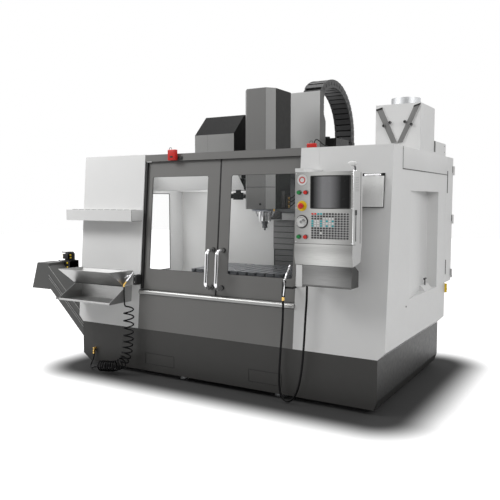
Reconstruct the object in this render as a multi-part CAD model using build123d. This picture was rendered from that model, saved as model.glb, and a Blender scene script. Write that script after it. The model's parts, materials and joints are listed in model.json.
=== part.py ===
"""Vertical machining centre with its enclosure, control pendant and chip auger.

Lengths are millimetres. Every piece is drawn in the machine's own frame: x from the
enclosure's centre plane (plus is the operator's right), y from the foot of the front
(plus is to the back) and z from the floor. The last lines move all pieces to the
middle of the whole object's box and write one STEP file for each.
"""

import math
import os

from build123d import *

# Depths: the column's face places everything at the machine's back
COLUMN_FRONT = 1690.0
COLUMN_DEPTH = 490.0
LINER_SETBACK = 115.0        # inner back wall in front of the column's face
CABINET_SETBACK = 90.0       # electrical cabinet in front of the column's face
ENCLOSURE_TAIL = 176.0       # enclosure behind the column's face
SIDE_TAIL = 43.0             # lower sides behind the cabinet's front
SKIRT_SETBACK = 17.0         # base skirt in front of the lower sides' back edge

COLUMN_BACK = COLUMN_FRONT + COLUMN_DEPTH
LINER_WALL = COLUMN_FRONT - LINER_SETBACK
CABINET_FRONT = COLUMN_FRONT - CABINET_SETBACK

# Enclosure: the sheet metal house around the work area
ENCLOSURE_WIDTH = 2900.0
ENCLOSURE_TOP = 1884.0
LEFT_PANEL_TOP = 1890.0
ENCLOSURE_DEPTH = COLUMN_FRONT + ENCLOSURE_TAIL
FRONT_LEAN = 0.0846          # run back for each unit of height above the base
SHEET = 3.0                  # outer sheet metal
CORNER_CUT = 50.0            # lower outer corners are cut at 45 degrees
RETURN_DEPTH = 25.0          # folded edge of a front panel
LOWER_SIDE_DEPTH = CABINET_FRONT + SIDE_TAIL
SIDE_STEP_Z = 755.0
SIDE_OPENING_Y = (540.0, CABINET_FRONT - 247.0)
SIDE_OPENING_Z = (752.0, 1569.0)
ACCESS_RECESS_DEPTH = 90.0
TOP_SHELF_WIDTH = 400.0

# Base
BASE_TOP = 397.0
BASE_BOTTOM = 40.0
BASE_DEPTH = LOWER_SIDE_DEPTH - SKIRT_SETBACK
BASE_WALL = 4.0
LEFT_TOE_RUN, LEFT_TOE_RISE = 95.0, 66.0
RIGHT_TOE_RUN, RIGHT_TOE_RISE = 22.0, 66.0
BED_X = (-400.0, 680.0)
BED_Y = (60.0, LINER_WALL + 25.0)
BED_TOP = 520.0
BED_WALL = 40.0
FOOT_HEIGHT = 130.0          # underside of the castings above the floor
FOOTING_HALF_WIDTH = 420.0
FOOTING_BACK = COLUMN_BACK + 20.0
FOOTING_TOP = 600.0
FOOT_SPOTS = ((BED_X[0] + 85, BED_Y[0] + 50), (BED_X[1] - 83, BED_Y[0] + 50),
              (BED_X[0] + 85, BED_Y[1] - 100), (BED_X[1] - 83, BED_Y[1] - 100),
              (90 - FOOTING_HALF_WIDTH, FOOTING_BACK - 80),
              (FOOTING_HALF_WIDTH - 90, FOOTING_BACK - 80))
FOOT_PAD_DIAMETER = 110.0
FOOT_PAD_HEIGHT = 25.0
FOOT_SCREW_DIAMETER = 30.0

# Doorway
DOORWAY_X = (-745.0, 747.0)
SILL_BOTTOM = 689.0
SILL_TOP = 734.0
SILL_DEPTH = 95.0
SILL_NOSE = 12.0
HEADER_BOTTOM = 1827.0
HEADER_TOP = 1886.0
HEADER_DEPTH = 90.0
DOOR_SETBACK = 27.0
DOOR_THICKNESS = 30.0
DOOR_SKIN = 3.0
DOOR_SPLIT_X = 26.0
DOOR_GAP = 2.0
LEFT_DOOR_EDGE = -725.0
RIGHT_DOOR_EDGE = 765.0
DOOR_TOP = 1826.0
SLIDE_GAP = 0.8              # a sliding piece above what it runs on
SEAT_GAP = 0.4               # a moving piece beside the face it is held on
WINDOW_Z = (910.0, 1698.0)
LEFT_WINDOW_X = (-672.0, -94.0)
RIGHT_WINDOW_X = (128.0, 704.0)
WINDOW_RADIUS = 18.0
GLASS = 6.0
GLASS_LAP = 16.0
HANDLE_TUBE = 34.0
HANDLE_HEIGHT = 300.0
HANDLE_CENTRE_Z = 950.0
HANDLE_STANDOFF = 92.0
LEFT_HANDLE_X = -14.0
RIGHT_HANDLE_X = 83.0

# Axes: the cross slide stack and the column
SPINDLE_Y = 904.0
Y_RAIL_X = 250.0
RAIL_WIDTH = 45.0
RAIL_HEIGHT = 45.0
RAIL_CLEARANCE = 0.5
Y_RAIL_SPAN = (330.0, LINER_WALL - 75.0)
SADDLE_HALF_LENGTH = 250.0
SADDLE_HALF_WIDTH = 350.0
SADDLE_BOTTOM, SADDLE_TOP = 610.0, 720.0
TABLE_LENGTH, TABLE_WIDTH = 1372.0, 635.0
TABLE_TOP = 870.0
TABLE_THICKNESS = 95.0
TABLE_REST_X = 87.0
TABLE_RAIL_SPREAD = 180.0
T_SLOTS = 15
TABLE_EDGE_HOLE = 26.0
T_SLOT_WIDTH, T_SLOT_NECK = 16.0, 18.0
T_SLOT_HEAD_WIDTH, T_SLOT_HEAD = 28.0, 12.0
COLUMN_HALF_WIDTH = 300.0
COLUMN_TOP = 1985.0
COLUMN_WALL = 40.0
Z_RAIL_X = 200.0
Z_RAIL_SPAN = (1000.0, 1970.0)
Z_RAIL_HEIGHT = 40.0

# Spindle head
HEAD_BOTTOM = 1424.0
HEAD_TOP = 1850.0
HEAD_SLIDE_BACK = COLUMN_FRONT - 60.0
HEAD_SLIDE_Z = (1345.0, 1665.0)
HEAD_HALF_WIDTH = 140.0
COVER_HALF_FACE = 97.0
COVER_HALF_WIDTH = 155.0
COVER_FRONT, COVER_SHOULDER, COVER_BACK = 745.0, 820.0, 1110.0
COVER_BOTTOM, COVER_SEAM, COVER_TOP = 1419.0, 1614.0, 2480.0
COVER_SHEET = 3.0
PLATE_HALF_WIDTH = 268.0
PLATE_FRONT = COLUMN_FRONT - 188.0
PLATE_BOTTOM, PLATE_TOP = 1300.0, 2548.0
PLATE_FLANGE = 78.0
PLATE_DEEP_FLANGE, PLATE_DEEP_TOP = 138.0, 2270.0
SLAT_PITCH = 60.0
LEAF_FRONT = COLUMN_FRONT - 130.0     # leaves that move with the head
LEAF_FOOT = 1003.0
FIXED_LEAF_FRONT = COLUMN_FRONT - 104.0
FIXED_LEAF_Z = (643.0, 1004.0)
SPINDLE_NOSE = 112.0
SPINDLE_SHAFT = 90.0
SPINDLE_FACE_Z = 1309.0
RUN_FIT = 0.08               # radial clearance of a shaft in its bore
COOLANT_RING = 236.0
HOLDER_FLANGE = 63.5
CUTTER_DIAMETER = 16.0

# Cable carrier over the column
CARRIER_X = (40.0, 235.0)
CARRIER_DEPTH = 80.0
CARRIER_FRONT = COLUMN_FRONT - 100.0
CARRIER_BACK = COLUMN_BACK + 305.0
CARRIER_FRONT_FOOT = 2170.0
CARRIER_BACK_FOOT = 2060.0
CARRIER_LOOP_RADIUS = 536.0
CARRIER_FRONT_RADIUS = 200.0
CARRIER_PLATE = 14.0
CARRIER_PIN_HEAD = 3.0
CARRIER_LINKS = 24
GUIDE_PLATE = 6.0            # cheeks that hold the carrier's lower end
GUIDE_FOOT, GUIDE_TOP = 1865.0, 2128.0
JUNCTION_HEIGHT = 133.0

# Tool changer
CHANGER_X = (-812.0, -363.0)
CHANGER_AXIS = (COLUMN_FRONT - 340.0, 1955.0)
CHANGER_HALF = 400.0
CHANGER_Z = (1590.0, 2320.0)
CHANGER_CORNER = 193.0
CHANGER_TOE_RUN, CHANGER_TOE_RISE = 209.0, 233.0
CHANGER_SHEET = 4.0
POTS = 20
POT_CIRCLE = 308.0
POT_DIAMETER = 72.0
ARM_X = -285.0
ARM_REACH = 285.0
ARM_Z = (1515.0, 1555.0)
ARM_DRIVE_Z = (1700.0, 1830.0)
ARM_SHAFT, ARM_SHAFT_TOP = 50.0, 1655.0

# Chip auger on the left
AUGER_REACH = 2141.0         # chute's left end from the centre plane
AUGER_Y = (60.0, 240.0)
AUGER_SLOPE = 0.954
AUGER_WALL_Z = 184.0         # trough's underside where it leaves the base
AUGER_HEIGHT = 150.0
AUGER_SHEET = 4.0
AUGER_INNER_END = -1330.0
CHUTE_RIGHT = -1904.0
CHUTE_TOP_LEFT = -2061.0
CHUTE_Z = (645.0, 896.0)
CHUTE_BACK = 257.0
SCREW_Y = 150.0
SCREW_RADIUS, SCREW_SHAFT, SCREW_PITCH = 60.0, 20.0, 110.0

# Pendant
PENDANT_X = (861.0, 1288.0)
PENDANT_Y = (-200.0, -35.0)
PENDANT_Z = (1201.0, 1690.0)
PENDANT_FOOT = 1053.0
PENDANT_WALL = 3.0
SCREEN_X, SCREEN_Z = (981.0, 1265.0), (1444.0, 1661.0)
KEYS_X, KEYS_Z = (984.0, 1262.0), (1235.0, 1414.0)
KEY_COLUMNS, KEY_ROWS = 13, 11
SWIVEL_X, SWIVEL_Y = 890.0, -118.0
SWIVEL_PIN = 20.0
BUTTON_CAP, BUTTON_STEM = 26.0, 14.0
BUTTON_TRAVEL = 4.0
POWER_Z, CYCLE_Z = 1551.0, 1247.0
GREEN_X, RED_X = 893.0, 943.0
STOP_X, STOP_Z = 915.0, 1459.0
WHEEL_X, WHEEL_Z = 915.0, 1351.0
WHEEL_DIAMETER = 78.0

# Shelf, tray and what stands outside
SHELF_X = (-1520.0, -750.0)
SHELF_FRONT = -59.0
SHELF_Z = (1320.0, 1415.0)
SHELF_HOLES = 10
SHELF_HOLE = 46.0
TRAY_X = (-1430.0, -833.0)
TRAY_REACH = 252.0           # tray's front edge in front of the base
TRAY_SHEET = 2.0
EXTRACTOR_X = (1085.0, 1445.0)
EXTRACTOR_Y = (780.0, 1190.0)
EXTRACTOR_TOP = 2250.0
DUCT_DIAMETER = 230.0
DUCT_HEIGHT = 66.0
CABINET_X = (800.0, 1447.0)
CABINET_Y = (CABINET_FRONT, ENCLOSURE_DEPTH - SHEET)
HINGE_X, HINGE_Y = 1457.0, CABINET_Y[1] + 9.0
HINGE_HEIGHTS = (832.0, 1335.0, 1780.0)
HINGE_PIN, HINGE_KNUCKLE = 8.0, 14.0

# Hoses
AIR_COIL_DIAMETER = 112.0
AIR_HOSE_DIAMETER = 12.0
WASH_HOSE_DIAMETER = 16.0
AIR_GUN_EXIT = (-822.0, -85.0, 764.0)
AIR_COIL_TOP = (-772.0, -86.0, 600.0)
AIR_COIL_END = (-1075.0, -150.0, 62.0)
AIR_FITTING = (-1244.0, -26.0, 132.0)
WASH_GUN_FOOT = (690.0, -46.0, 764.0)
WASH_FITTING = (896.0, -20.0, 900.0)

HALF_WIDTH = ENCLOSURE_WIDTH / 2
BASE_HALF = HALF_WIDTH - CORNER_CUT
BIG = 4000.0


def front_y(z):
    """Depth of the leaning front face at a height."""
    return FRONT_LEAN * (z - BASE_TOP)


def block(x, y, z):
    """Box between two limits on each axis."""
    size = Box(x[1] - x[0], y[1] - y[0], z[1] - z[0])
    return Pos((x[0] + x[1]) / 2, (y[0] + y[1]) / 2, (z[0] + z[1]) / 2) * size


def rod(start, end, diameter):
    """Round bar between two points."""
    axis = Vector(*end) - Vector(*start)
    plane = Plane(origin=start, z_dir=axis)
    return extrude(plane * Circle(diameter / 2), amount=axis.length)


def side_prism(points, x):
    """Outline of (y, z) points drawn out along x."""
    face = make_face(Polyline(*[(x[0], a, b) for a, b in points], close=True))
    return extrude(face, amount=x[1] - x[0], dir=(1, 0, 0))


def front_prism(points, y):
    """Outline of (x, z) points drawn out along y."""
    face = make_face(Polyline(*[(a, y[0], b) for a, b in points], close=True))
    return extrude(face, amount=y[1] - y[0], dir=(0, 1, 0))


def leaning(x, z, depth):
    """Slab parallel to the leaning front, between two depths behind it."""
    low, high = front_y(z[0]), front_y(z[1])
    points = [(low + depth[0], z[0]), (low + depth[1], z[0]),
              (high + depth[1], z[1]), (high + depth[0], z[1])]
    return side_prism(points, x)


def group(pieces):
    """Separate solids of one node."""
    return Compound(children=[solid for piece in pieces for solid in piece.solids()])


def rounded_hole(x, z, radius):
    """Cutter along y with rounded corners."""
    width, height = x[1] - x[0], z[1] - z[0]
    plane = Plane(origin=((x[0] + x[1]) / 2, -BIG / 2, (z[0] + z[1]) / 2),
                  x_dir=(1, 0, 0), z_dir=(0, 1, 0))
    return extrude(plane * RectangleRounded(width, height, radius), amount=BIG)


# Base
def make_levelling_pads():
    pads = []
    for x, y in FOOT_SPOTS:
        pad = rod((x, y, 0), (x, y, FOOT_PAD_HEIGHT), FOOT_PAD_DIAMETER)
        pad += rod((x, y, FOOT_PAD_HEIGHT), (x, y, FOOT_HEIGHT), FOOT_SCREW_DIAMETER)
        nut = Plane(origin=(x, y, FOOT_HEIGHT - 30)) * RegularPolygon(28, 6)
        pads.append(pad + extrude(nut, amount=22))
    return group(pads)


def make_base_casting():
    bed = block(BED_X, BED_Y, (FOOT_HEIGHT, BED_TOP))
    footing = block((-FOOTING_HALF_WIDTH, FOOTING_HALF_WIDTH), (BED_Y[1], FOOTING_BACK),
                    (FOOT_HEIGHT, FOOTING_TOP))
    casting = bed + footing
    cell_length = (BED_Y[1] - BED_Y[0] - 4 * BED_WALL) / 3
    for i in range(3):
        start = BED_Y[0] + BED_WALL + i * (cell_length + BED_WALL)
        casting -= block((BED_X[0] + BED_WALL + 60, BED_X[1] - BED_WALL - 60),
                         (start, start + cell_length), (FOOT_HEIGHT, BED_TOP - BED_WALL))
    casting -= block((-FOOTING_HALF_WIDTH + 150, FOOTING_HALF_WIDTH - 150),
                     (BED_Y[1] + BED_WALL, FOOTING_BACK - BED_WALL),
                     (FOOT_HEIGHT, FOOTING_TOP - BED_WALL))
    return casting


def base_profile(inset):
    """Front outline of the base skirt, moved inward on the sides."""
    half = BASE_HALF - inset
    low, high = BASE_BOTTOM, BASE_TOP
    if inset:
        low, high = low - 10, high + 10
    return [(-half + LEFT_TOE_RUN, low), (half - RIGHT_TOE_RUN, low),
            (half, BASE_BOTTOM + RIGHT_TOE_RISE), (half, high),
            (-half, high), (-half, BASE_BOTTOM + LEFT_TOE_RISE)]


def make_base_skirt():
    skirt = front_prism(base_profile(0), (0, BASE_DEPTH))
    skirt -= front_prism(base_profile(BASE_WALL), (BASE_WALL, BASE_DEPTH - BASE_WALL))
    skirt -= block((-BASE_HALF - 5, -BASE_HALF + BASE_WALL + 5), AUGER_Y,
                   (AUGER_WALL_Z - AUGER_SLOPE * BASE_WALL, BASE_TOP + 5))
    # the column's footing stands in a gap of the back wall
    skirt -= block((-FOOTING_HALF_WIDTH - 2, BED_X[1] + 2),
                   (BASE_DEPTH - BASE_WALL - 1, BASE_DEPTH + 1), (BASE_BOTTOM - 1, BASE_TOP + 1))
    for x in ((-663.0, -360.0), (370.0, 653.0)):
        outer = block((x[0] - 4, x[1] + 4), (-1, 1.5), (97, 197))
        inner = block(x, (-1, 1.5), (101, 193))
        skirt -= outer - inner
    x, y, z = AIR_FITTING
    elbow_z = z + 18
    skirt += rod((x, 0, elbow_z), (x, -6, elbow_z), 30)
    skirt += rod((x, -6, elbow_z), (x, y - 8, elbow_z), 16)
    return skirt + rod((x, y, z), (x, y, elbow_z + 8), 16)


# Enclosure
def make_door_frame():
    """Fixed frame of the doorway: the panel and rounded ledge below, the beam above."""
    skin = leaning(DOORWAY_X, (BASE_TOP, SILL_BOTTOM), (0, SHEET))
    edge = front_y(SILL_BOTTOM)
    with BuildPart() as ledge:
        with BuildSketch(Plane(origin=(DOORWAY_X[0], 0, 0), x_dir=(0, 1, 0),
                               z_dir=(1, 0, 0))):
            with BuildLine():
                nose = ThreePointArc((edge, SILL_BOTTOM),
                                     (edge - SILL_NOSE, (SILL_BOTTOM + SILL_TOP) / 2),
                                     (edge + 4, SILL_TOP))
                Polyline(nose @ 1, (edge + SILL_DEPTH, SILL_TOP),
                         (edge + SILL_DEPTH, SILL_BOTTOM), nose @ 0)
            make_face()
        extrude(amount=DOORWAY_X[1] - DOORWAY_X[0])
    hollow = block((DOORWAY_X[0] - 1, DOORWAY_X[1] + 1),
                   (edge + SHEET, edge + SILL_DEPTH - SHEET),
                   (SILL_BOTTOM - 1, SILL_TOP - SHEET))
    beam = leaning(DOORWAY_X, (HEADER_BOTTOM, HEADER_TOP), (0, HEADER_DEPTH))
    channel = leaning((DOORWAY_X[0] - 1, DOORWAY_X[1] + 1), (HEADER_BOTTOM - 2, HEADER_TOP - SHEET),
                      (SHEET, HEADER_DEPTH - SHEET))
    return group([skin + (ledge.part - hollow), beam - channel])


def make_front_panel(x, top, outer_side):
    """White front panel with a folded edge at the doorway and along its top."""
    panel = leaning(x, (BASE_TOP, top), (0, SHEET))
    inner = x[1] if outer_side < 0 else x[0]
    fold = (inner - SHEET, inner) if outer_side < 0 else (inner, inner + SHEET)
    panel += leaning(fold, (BASE_TOP, top), (SHEET, RETURN_DEPTH))
    cap = (x[0] + SHEET, x[1]) if outer_side < 0 else (x[0], x[1] - SHEET)
    panel += leaning(cap, (top - SHEET, top), (SHEET, RETURN_DEPTH))
    corner = [(outer_side * (BASE_HALF - 1), BASE_TOP - 1), (outer_side * HALF_WIDTH + outer_side, BASE_TOP - 1),
              (outer_side * HALF_WIDTH + outer_side, BASE_TOP + CORNER_CUT + 1)]
    return panel - front_prism(corner, (-5, 60))


def make_left_front_panel():
    return make_front_panel((-HALF_WIDTH, DOORWAY_X[0]), LEFT_PANEL_TOP, -1)


def make_right_front_panel():
    panel = make_front_panel((DOORWAY_X[1], HALF_WIDTH), ENCLOSURE_TOP, 1)
    panel -= leaning((897, 900), (1660, ENCLOSURE_TOP + 1), (-1, 1))
    x, y, z = WASH_FITTING
    elbow_z = z + 20
    panel += rod((x, front_y(elbow_z) + 1, elbow_z), (x, front_y(elbow_z) - 8, elbow_z), 36)
    panel += rod((x, front_y(elbow_z) - 8, elbow_z), (x, y - 9, elbow_z), 20)
    return panel + rod((x, y, z), (x, y, elbow_z + 10), 22)


def make_side_panel(side, back):
    """Side wall folded in at its foot, with the big rectangular opening."""
    outer, inner = side * HALF_WIDTH, side * (HALF_WIDTH - SHEET)
    foot_outer = side * BASE_HALF
    foot_inner = side * (BASE_HALF - 1.42 * SHEET)
    profile = [(outer, ENCLOSURE_TOP), (outer, BASE_TOP + CORNER_CUT), (foot_outer, BASE_TOP),
               (foot_inner, BASE_TOP), (inner, BASE_TOP + CORNER_CUT + 0.42 * SHEET),
               (inner, ENCLOSURE_TOP)]
    wall = front_prism(profile, (-5, back))
    keep = [(front_y(BASE_TOP) + SHEET, BASE_TOP), (front_y(ENCLOSURE_TOP) + SHEET, ENCLOSURE_TOP),
            (back, ENCLOSURE_TOP), (back, SIDE_STEP_Z)]
    if back > LOWER_SIDE_DEPTH:
        keep += [(LOWER_SIDE_DEPTH, SIDE_STEP_Z), (LOWER_SIDE_DEPTH, BASE_TOP)]
    else:
        keep += [(back, BASE_TOP)]
    wall = wall & side_prism(keep, (-HALF_WIDTH - 5, HALF_WIDTH + 5))
    opening = block((min(outer, inner) - 5, max(outer, inner) + 5), SIDE_OPENING_Y, SIDE_OPENING_Z)
    return wall - opening


def make_left_side_panel():
    return make_side_panel(-1, ENCLOSURE_DEPTH)


def make_right_side_panel():
    """Right wall with its top shelf, the service cover's outline and the switch plate."""
    wall = make_side_panel(1, CABINET_Y[0] - 2)
    shelf = block((HALF_WIDTH - SHEET - TOP_SHELF_WIDTH, HALF_WIDTH - SHEET),
                  (front_y(ENCLOSURE_TOP) + RETURN_DEPTH + 5, CABINET_Y[0]),
                  (ENCLOSURE_TOP - SHEET, ENCLOSURE_TOP))
    shelf += block((HALF_WIDTH - SHEET - TOP_SHELF_WIDTH, HALF_WIDTH - TOP_SHELF_WIDTH),
                   (front_y(ENCLOSURE_TOP) + RETURN_DEPTH + 5, CABINET_Y[0] - 2),
                   (ENCLOSURE_TOP - 40, ENCLOSURE_TOP - SHEET))
    wall += shelf
    rim_y, rim_z = (313, CABINET_FRONT - 6), (ENCLOSURE_TOP - 172, ENCLOSURE_TOP - 16)
    groove = (HALF_WIDTH - 1.5, HALF_WIDTH + 1)
    rim = block(groove, rim_y, rim_z)
    rim -= block(groove, (rim_y[0] + 4, rim_y[1] - 4), (rim_z[0] + 4, rim_z[1] - 4))
    wall -= rim
    tail = block((HALF_WIDTH - SHEET, HALF_WIDTH), (CABINET_Y[0] - 2, LOWER_SIDE_DEPTH),
                 (BASE_TOP + CORNER_CUT, SIDE_STEP_Z - 2))
    switch_plate = block((HALF_WIDTH - 70, HALF_WIDTH),
                         (LOWER_SIDE_DEPTH, LOWER_SIDE_DEPTH + SHEET), (640, SIDE_STEP_Z - 2))
    switch_plate -= rod((SWITCH_X, LOWER_SIDE_DEPTH - 5, SWITCH_Z),
                        (SWITCH_X, LOWER_SIDE_DEPTH + 10, SWITCH_Z), 16 + 2 * RUN_FIT)
    return wall + tail + switch_plate


def make_left_side_window():
    y = (SIDE_OPENING_Y[0] - GLASS_LAP, SIDE_OPENING_Y[1] + GLASS_LAP)
    z = (SIDE_OPENING_Z[0] - GLASS_LAP, SIDE_OPENING_Z[1] + GLASS_LAP)
    return block((-HALF_WIDTH + SHEET, -HALF_WIDTH + SHEET + GLASS), y, z)


LATCH_Y = 1150.0
LATCH_SETBACK = 42.0         # T handle's stem behind the wall's face
LATCH_STEM, LATCH_BAR = 10.0, 14.0
LATCH_HALF_SPAN = 28.0
SWITCH_X, SWITCH_Z = 1413.0, 694.0


def make_side_access_panel():
    """Panel set into the right wall: flush at its front edge, deepest at the back."""
    face = HALF_WIDTH - SHEET
    y0, y1 = SIDE_OPENING_Y
    z0, z1 = SIDE_OPENING_Z
    plan = [(face, y0 - GLASS_LAP), (face, y1 + GLASS_LAP), (face - SHEET, y1 + GLASS_LAP),
            (face - SHEET, y1 + SHEET), (face - ACCESS_RECESS_DEPTH, y1 + SHEET),
            (face - ACCESS_RECESS_DEPTH - 2, y1 - 60), (face - SHEET, y0 - GLASS_LAP)]
    bottom = z0 - GLASS_LAP
    base = make_face(Polyline(*[(a, b, bottom) for a, b in plan], close=True))
    panel = extrude(base, amount=z1 - z0 + 2 * GLASS_LAP, dir=(0, 0, 1))
    hollow_plan = [(face + 1, y0), (face + 1, y1), (face - ACCESS_RECESS_DEPTH + SHEET, y1),
                   (face - ACCESS_RECESS_DEPTH + SHEET - 1, y1 - 60), (face - 0.2, y0)]
    hollow_base = make_face(Polyline(*[(a, b, z0) for a, b in hollow_plan], close=True))
    panel -= extrude(hollow_base, amount=z1 - z0, dir=(0, 0, 1))
    ledge = [(face - 75, z0), (face - 12, z0), (face - 45, z0 + 42), (face - 75, z0 + 42)]
    panel += front_prism(ledge, (LATCH_Y - 110, LATCH_Y + 110)) & extrude(
        hollow_base, amount=z1 - z0, dir=(0, 0, 1))
    stem_x = face - LATCH_SETBACK
    pocket = rod((stem_x, LATCH_Y, z0 + 5), (stem_x, LATCH_Y, z0 + 60), LATCH_STEM + 2 * RUN_FIT)
    return panel - pocket


def make_access_latch():
    """T handle that turns on its upright stem."""
    x = HALF_WIDTH - SHEET - LATCH_SETBACK
    z = SIDE_OPENING_Z[0] + 12
    latch = rod((x, LATCH_Y, z), (x, LATCH_Y, z + 78), LATCH_STEM)
    return latch + rod((x, LATCH_Y - LATCH_HALF_SPAN, z + 78), (x, LATCH_Y + LATCH_HALF_SPAN, z + 78), LATCH_BAR)


PAN_EDGE_Z = 620.0
APRON_TOP = 640.0


def make_enclosure_liner():
    """Inner back wall with its forward upper band, and the sloping floor pans."""
    inner = HALF_WIDTH - SHEET
    wall_y = (LINER_WALL, LINER_WALL + SHEET)
    band_y = (LINER_WALL - 60, LINER_WALL - 60 + SHEET)
    wall_foot, band_z = 560.0, 1593.0
    wall = block((-inner, inner), wall_y, (wall_foot, band_z))
    wall += block((-inner, inner), (band_y[0], wall_y[1]), (band_z, band_z + SHEET))
    wall += block((-inner, inner), band_y, (band_z, ENCLOSURE_TOP - 10))
    wall += block((-inner, inner), (band_y[0], wall_y[1]), (ENCLOSURE_TOP - 13, ENCLOSURE_TOP - 10))
    through = (band_y[0] - 15, wall_y[1] + 15)
    passage = PLATE_HALF_WIDTH + 3
    wall -= block((-passage, passage), through, (wall_foot, ENCLOSURE_TOP + 5))
    wall -= block((CHANGER_X[0] - 70, CHANGER_X[1] + 8), through, (CHANGER_Z[0] - 8, ENCLOSURE_TOP + 5))
    wall -= block((inner - TOP_SHELF_WIDTH - 2, inner + 1), through,
                  (ENCLOSURE_TOP - 45, ENCLOSURE_TOP + 5))
    pans = []
    for edge, side in ((BED_X[0], -1), (BED_X[1], 1)):
        slope = [(edge, BED_TOP), (side * inner, PAN_EDGE_Z), (side * inner, PAN_EDGE_Z + SHEET),
                 (edge, BED_TOP + SHEET), (edge - side * 30, BED_TOP + SHEET),
                 (edge - side * 30, BED_TOP)]
        pans.append(front_prism(slope, (300, wall_y[0])))
    liner = wall + pans[0] + pans[1]
    apron = [(124, APRON_TOP), (124 + SHEET, APRON_TOP), (300, BED_TOP + SHEET),
             (330, BED_TOP + SHEET), (330, BED_TOP), (299, BED_TOP)]
    apron_face = side_prism(apron, (BED_X[0], BED_X[1]))
    liner += apron_face
    for low_edge, side in ((BED_X[0], -1), (BED_X[1], 1)):
        corner = [(low_edge, BED_TOP), (side * inner, PAN_EDGE_Z), (side * inner, PAN_EDGE_Z + SHEET),
                  (low_edge, BED_TOP + SHEET)]
        liner += front_prism(corner, (124, 300))
    ramp_y = wall_y[0] - 65
    rear = [(ramp_y, BED_TOP), (ramp_y, BED_TOP + SHEET), (wall_y[0], APRON_TOP), (wall_y[1], APRON_TOP),
            (wall_y[1], wall_foot), (wall_y[0], wall_foot), (wall_y[0], APRON_TOP - 10),
            (ramp_y + 2, BED_TOP)]
    liner += side_prism(rear, (BED_X[0], BED_X[1]))
    return liner


def make_interlock_switches():
    """Two door switches: a box and the wire loop of its key."""
    switches = []
    left_y = front_y(HEADER_TOP)
    right_y = front_y(ENCLOSURE_TOP) + 6
    for x, z, y in (((-485.0, -405.0), (HEADER_BOTTOM + 2, HEADER_TOP + 32), (left_y - 42, left_y - 12)),
                    ((795.0, 868.0), (ENCLOSURE_TOP, ENCLOSURE_TOP + 38), (right_y, right_y + 30))):
        box = block(x, y, z)
        if z[0] < ENCLOSURE_TOP:
            box += leaning((x[0] + 10, x[1] - 10), (HEADER_BOTTOM + 4, HEADER_TOP - 4), (-30, 0))
        middle = (x[0] + x[1]) / 2
        centre = Plane(origin=(middle, (y[0] + y[1]) / 2, z[1] - 4), z_dir=(0, 1, 0))
        loop = centre * Pos(0, 0, 0) * Torus(18, 2.5)
        switches.append(box + loop)
    return group(switches)


def make_electrical_cabinet():
    z = (SIDE_STEP_Z, ENCLOSURE_TOP)
    shell = block(CABINET_X, CABINET_Y, z)
    shell -= block((CABINET_X[0] + SHEET, CABINET_X[1] + 1),
                   (CABINET_Y[0] + SHEET, CABINET_Y[1] - SHEET), (z[0] + SHEET, z[1] - SHEET))
    shell += block((CABINET_X[0] + 60, CABINET_X[0] + 63),
                   (CABINET_Y[0] + SHEET, CABINET_Y[1] - SHEET), (z[0] + SHEET, z[1] - SHEET))
    gear_y = (CABINET_Y[0] + 50, CABINET_Y[1] - 43)
    shell += block((CABINET_X[0] + 63, CABINET_X[0] + 200), gear_y, (z[0] + 195, z[0] + 495))
    shell += block((CABINET_X[0] + 63, CABINET_X[0] + 160), gear_y, (z[0] + 595, z[0] + 945))
    for height in HINGE_HEIGHTS:
        lug = block((CABINET_X[1] - 8, HINGE_X + 6), (CABINET_Y[1], HINGE_Y + 6),
                    (height - 52, height - 32))
        pin = rod((HINGE_X, HINGE_Y, height - 32), (HINGE_X, HINGE_Y, height + 28), HINGE_PIN)
        shell += lug + pin
    return shell


def make_electrical_cabinet_door():
    door = block((CABINET_X[1] + 0.5, CABINET_X[1] + SHEET), (CABINET_Y[0], CABINET_Y[1] - 0.5),
                 (SIDE_STEP_Z + 2, ENCLOSURE_TOP - 2))
    door += block((CABINET_X[1] - 20, CABINET_X[1] + 0.5), (CABINET_Y[0] + 8, CABINET_Y[0] + 11),
                  (SIDE_STEP_Z + 12, ENCLOSURE_TOP - 12))
    for height in HINGE_HEIGHTS:
        knuckle = rod((HINGE_X, HINGE_Y, height - 30), (HINGE_X, HINGE_Y, height + 30), HINGE_KNUCKLE)
        knuckle += block((CABINET_X[1] + 0.5, HINGE_X), (CABINET_Y[1] - 20, HINGE_Y - 5),
                         (height - 30, height + 30))
        door += knuckle
        door -= rod((HINGE_X, HINGE_Y, height - 31), (HINGE_X, HINGE_Y, height + 31),
                    HINGE_PIN + 2 * RUN_FIT)
    slot_y = (CABINET_Y[0] + 52, CABINET_Y[0] + 64)
    for low, high in ((SIDE_STEP_Z + 808, SIDE_STEP_Z + 1004), (SIDE_STEP_Z + 76, SIDE_STEP_Z + 206)):
        door -= block((CABINET_X[1] - 1, CABINET_X[1] + SHEET + 1), slot_y, (low, high))
    return door


def make_disconnect_handle():
    y = LOWER_SIDE_DEPTH
    handle = rod((SWITCH_X, y - 12, SWITCH_Z), (SWITCH_X, y + 8, SWITCH_Z), 16)
    handle += rod((SWITCH_X, y + 8, SWITCH_Z), (SWITCH_X, y + 24, SWITCH_Z), 58)
    return handle + block((SWITCH_X - 9, SWITCH_X + 9), (y + 24, y + 42),
                          (SWITCH_Z - 32, SWITCH_Z + 32))


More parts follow.
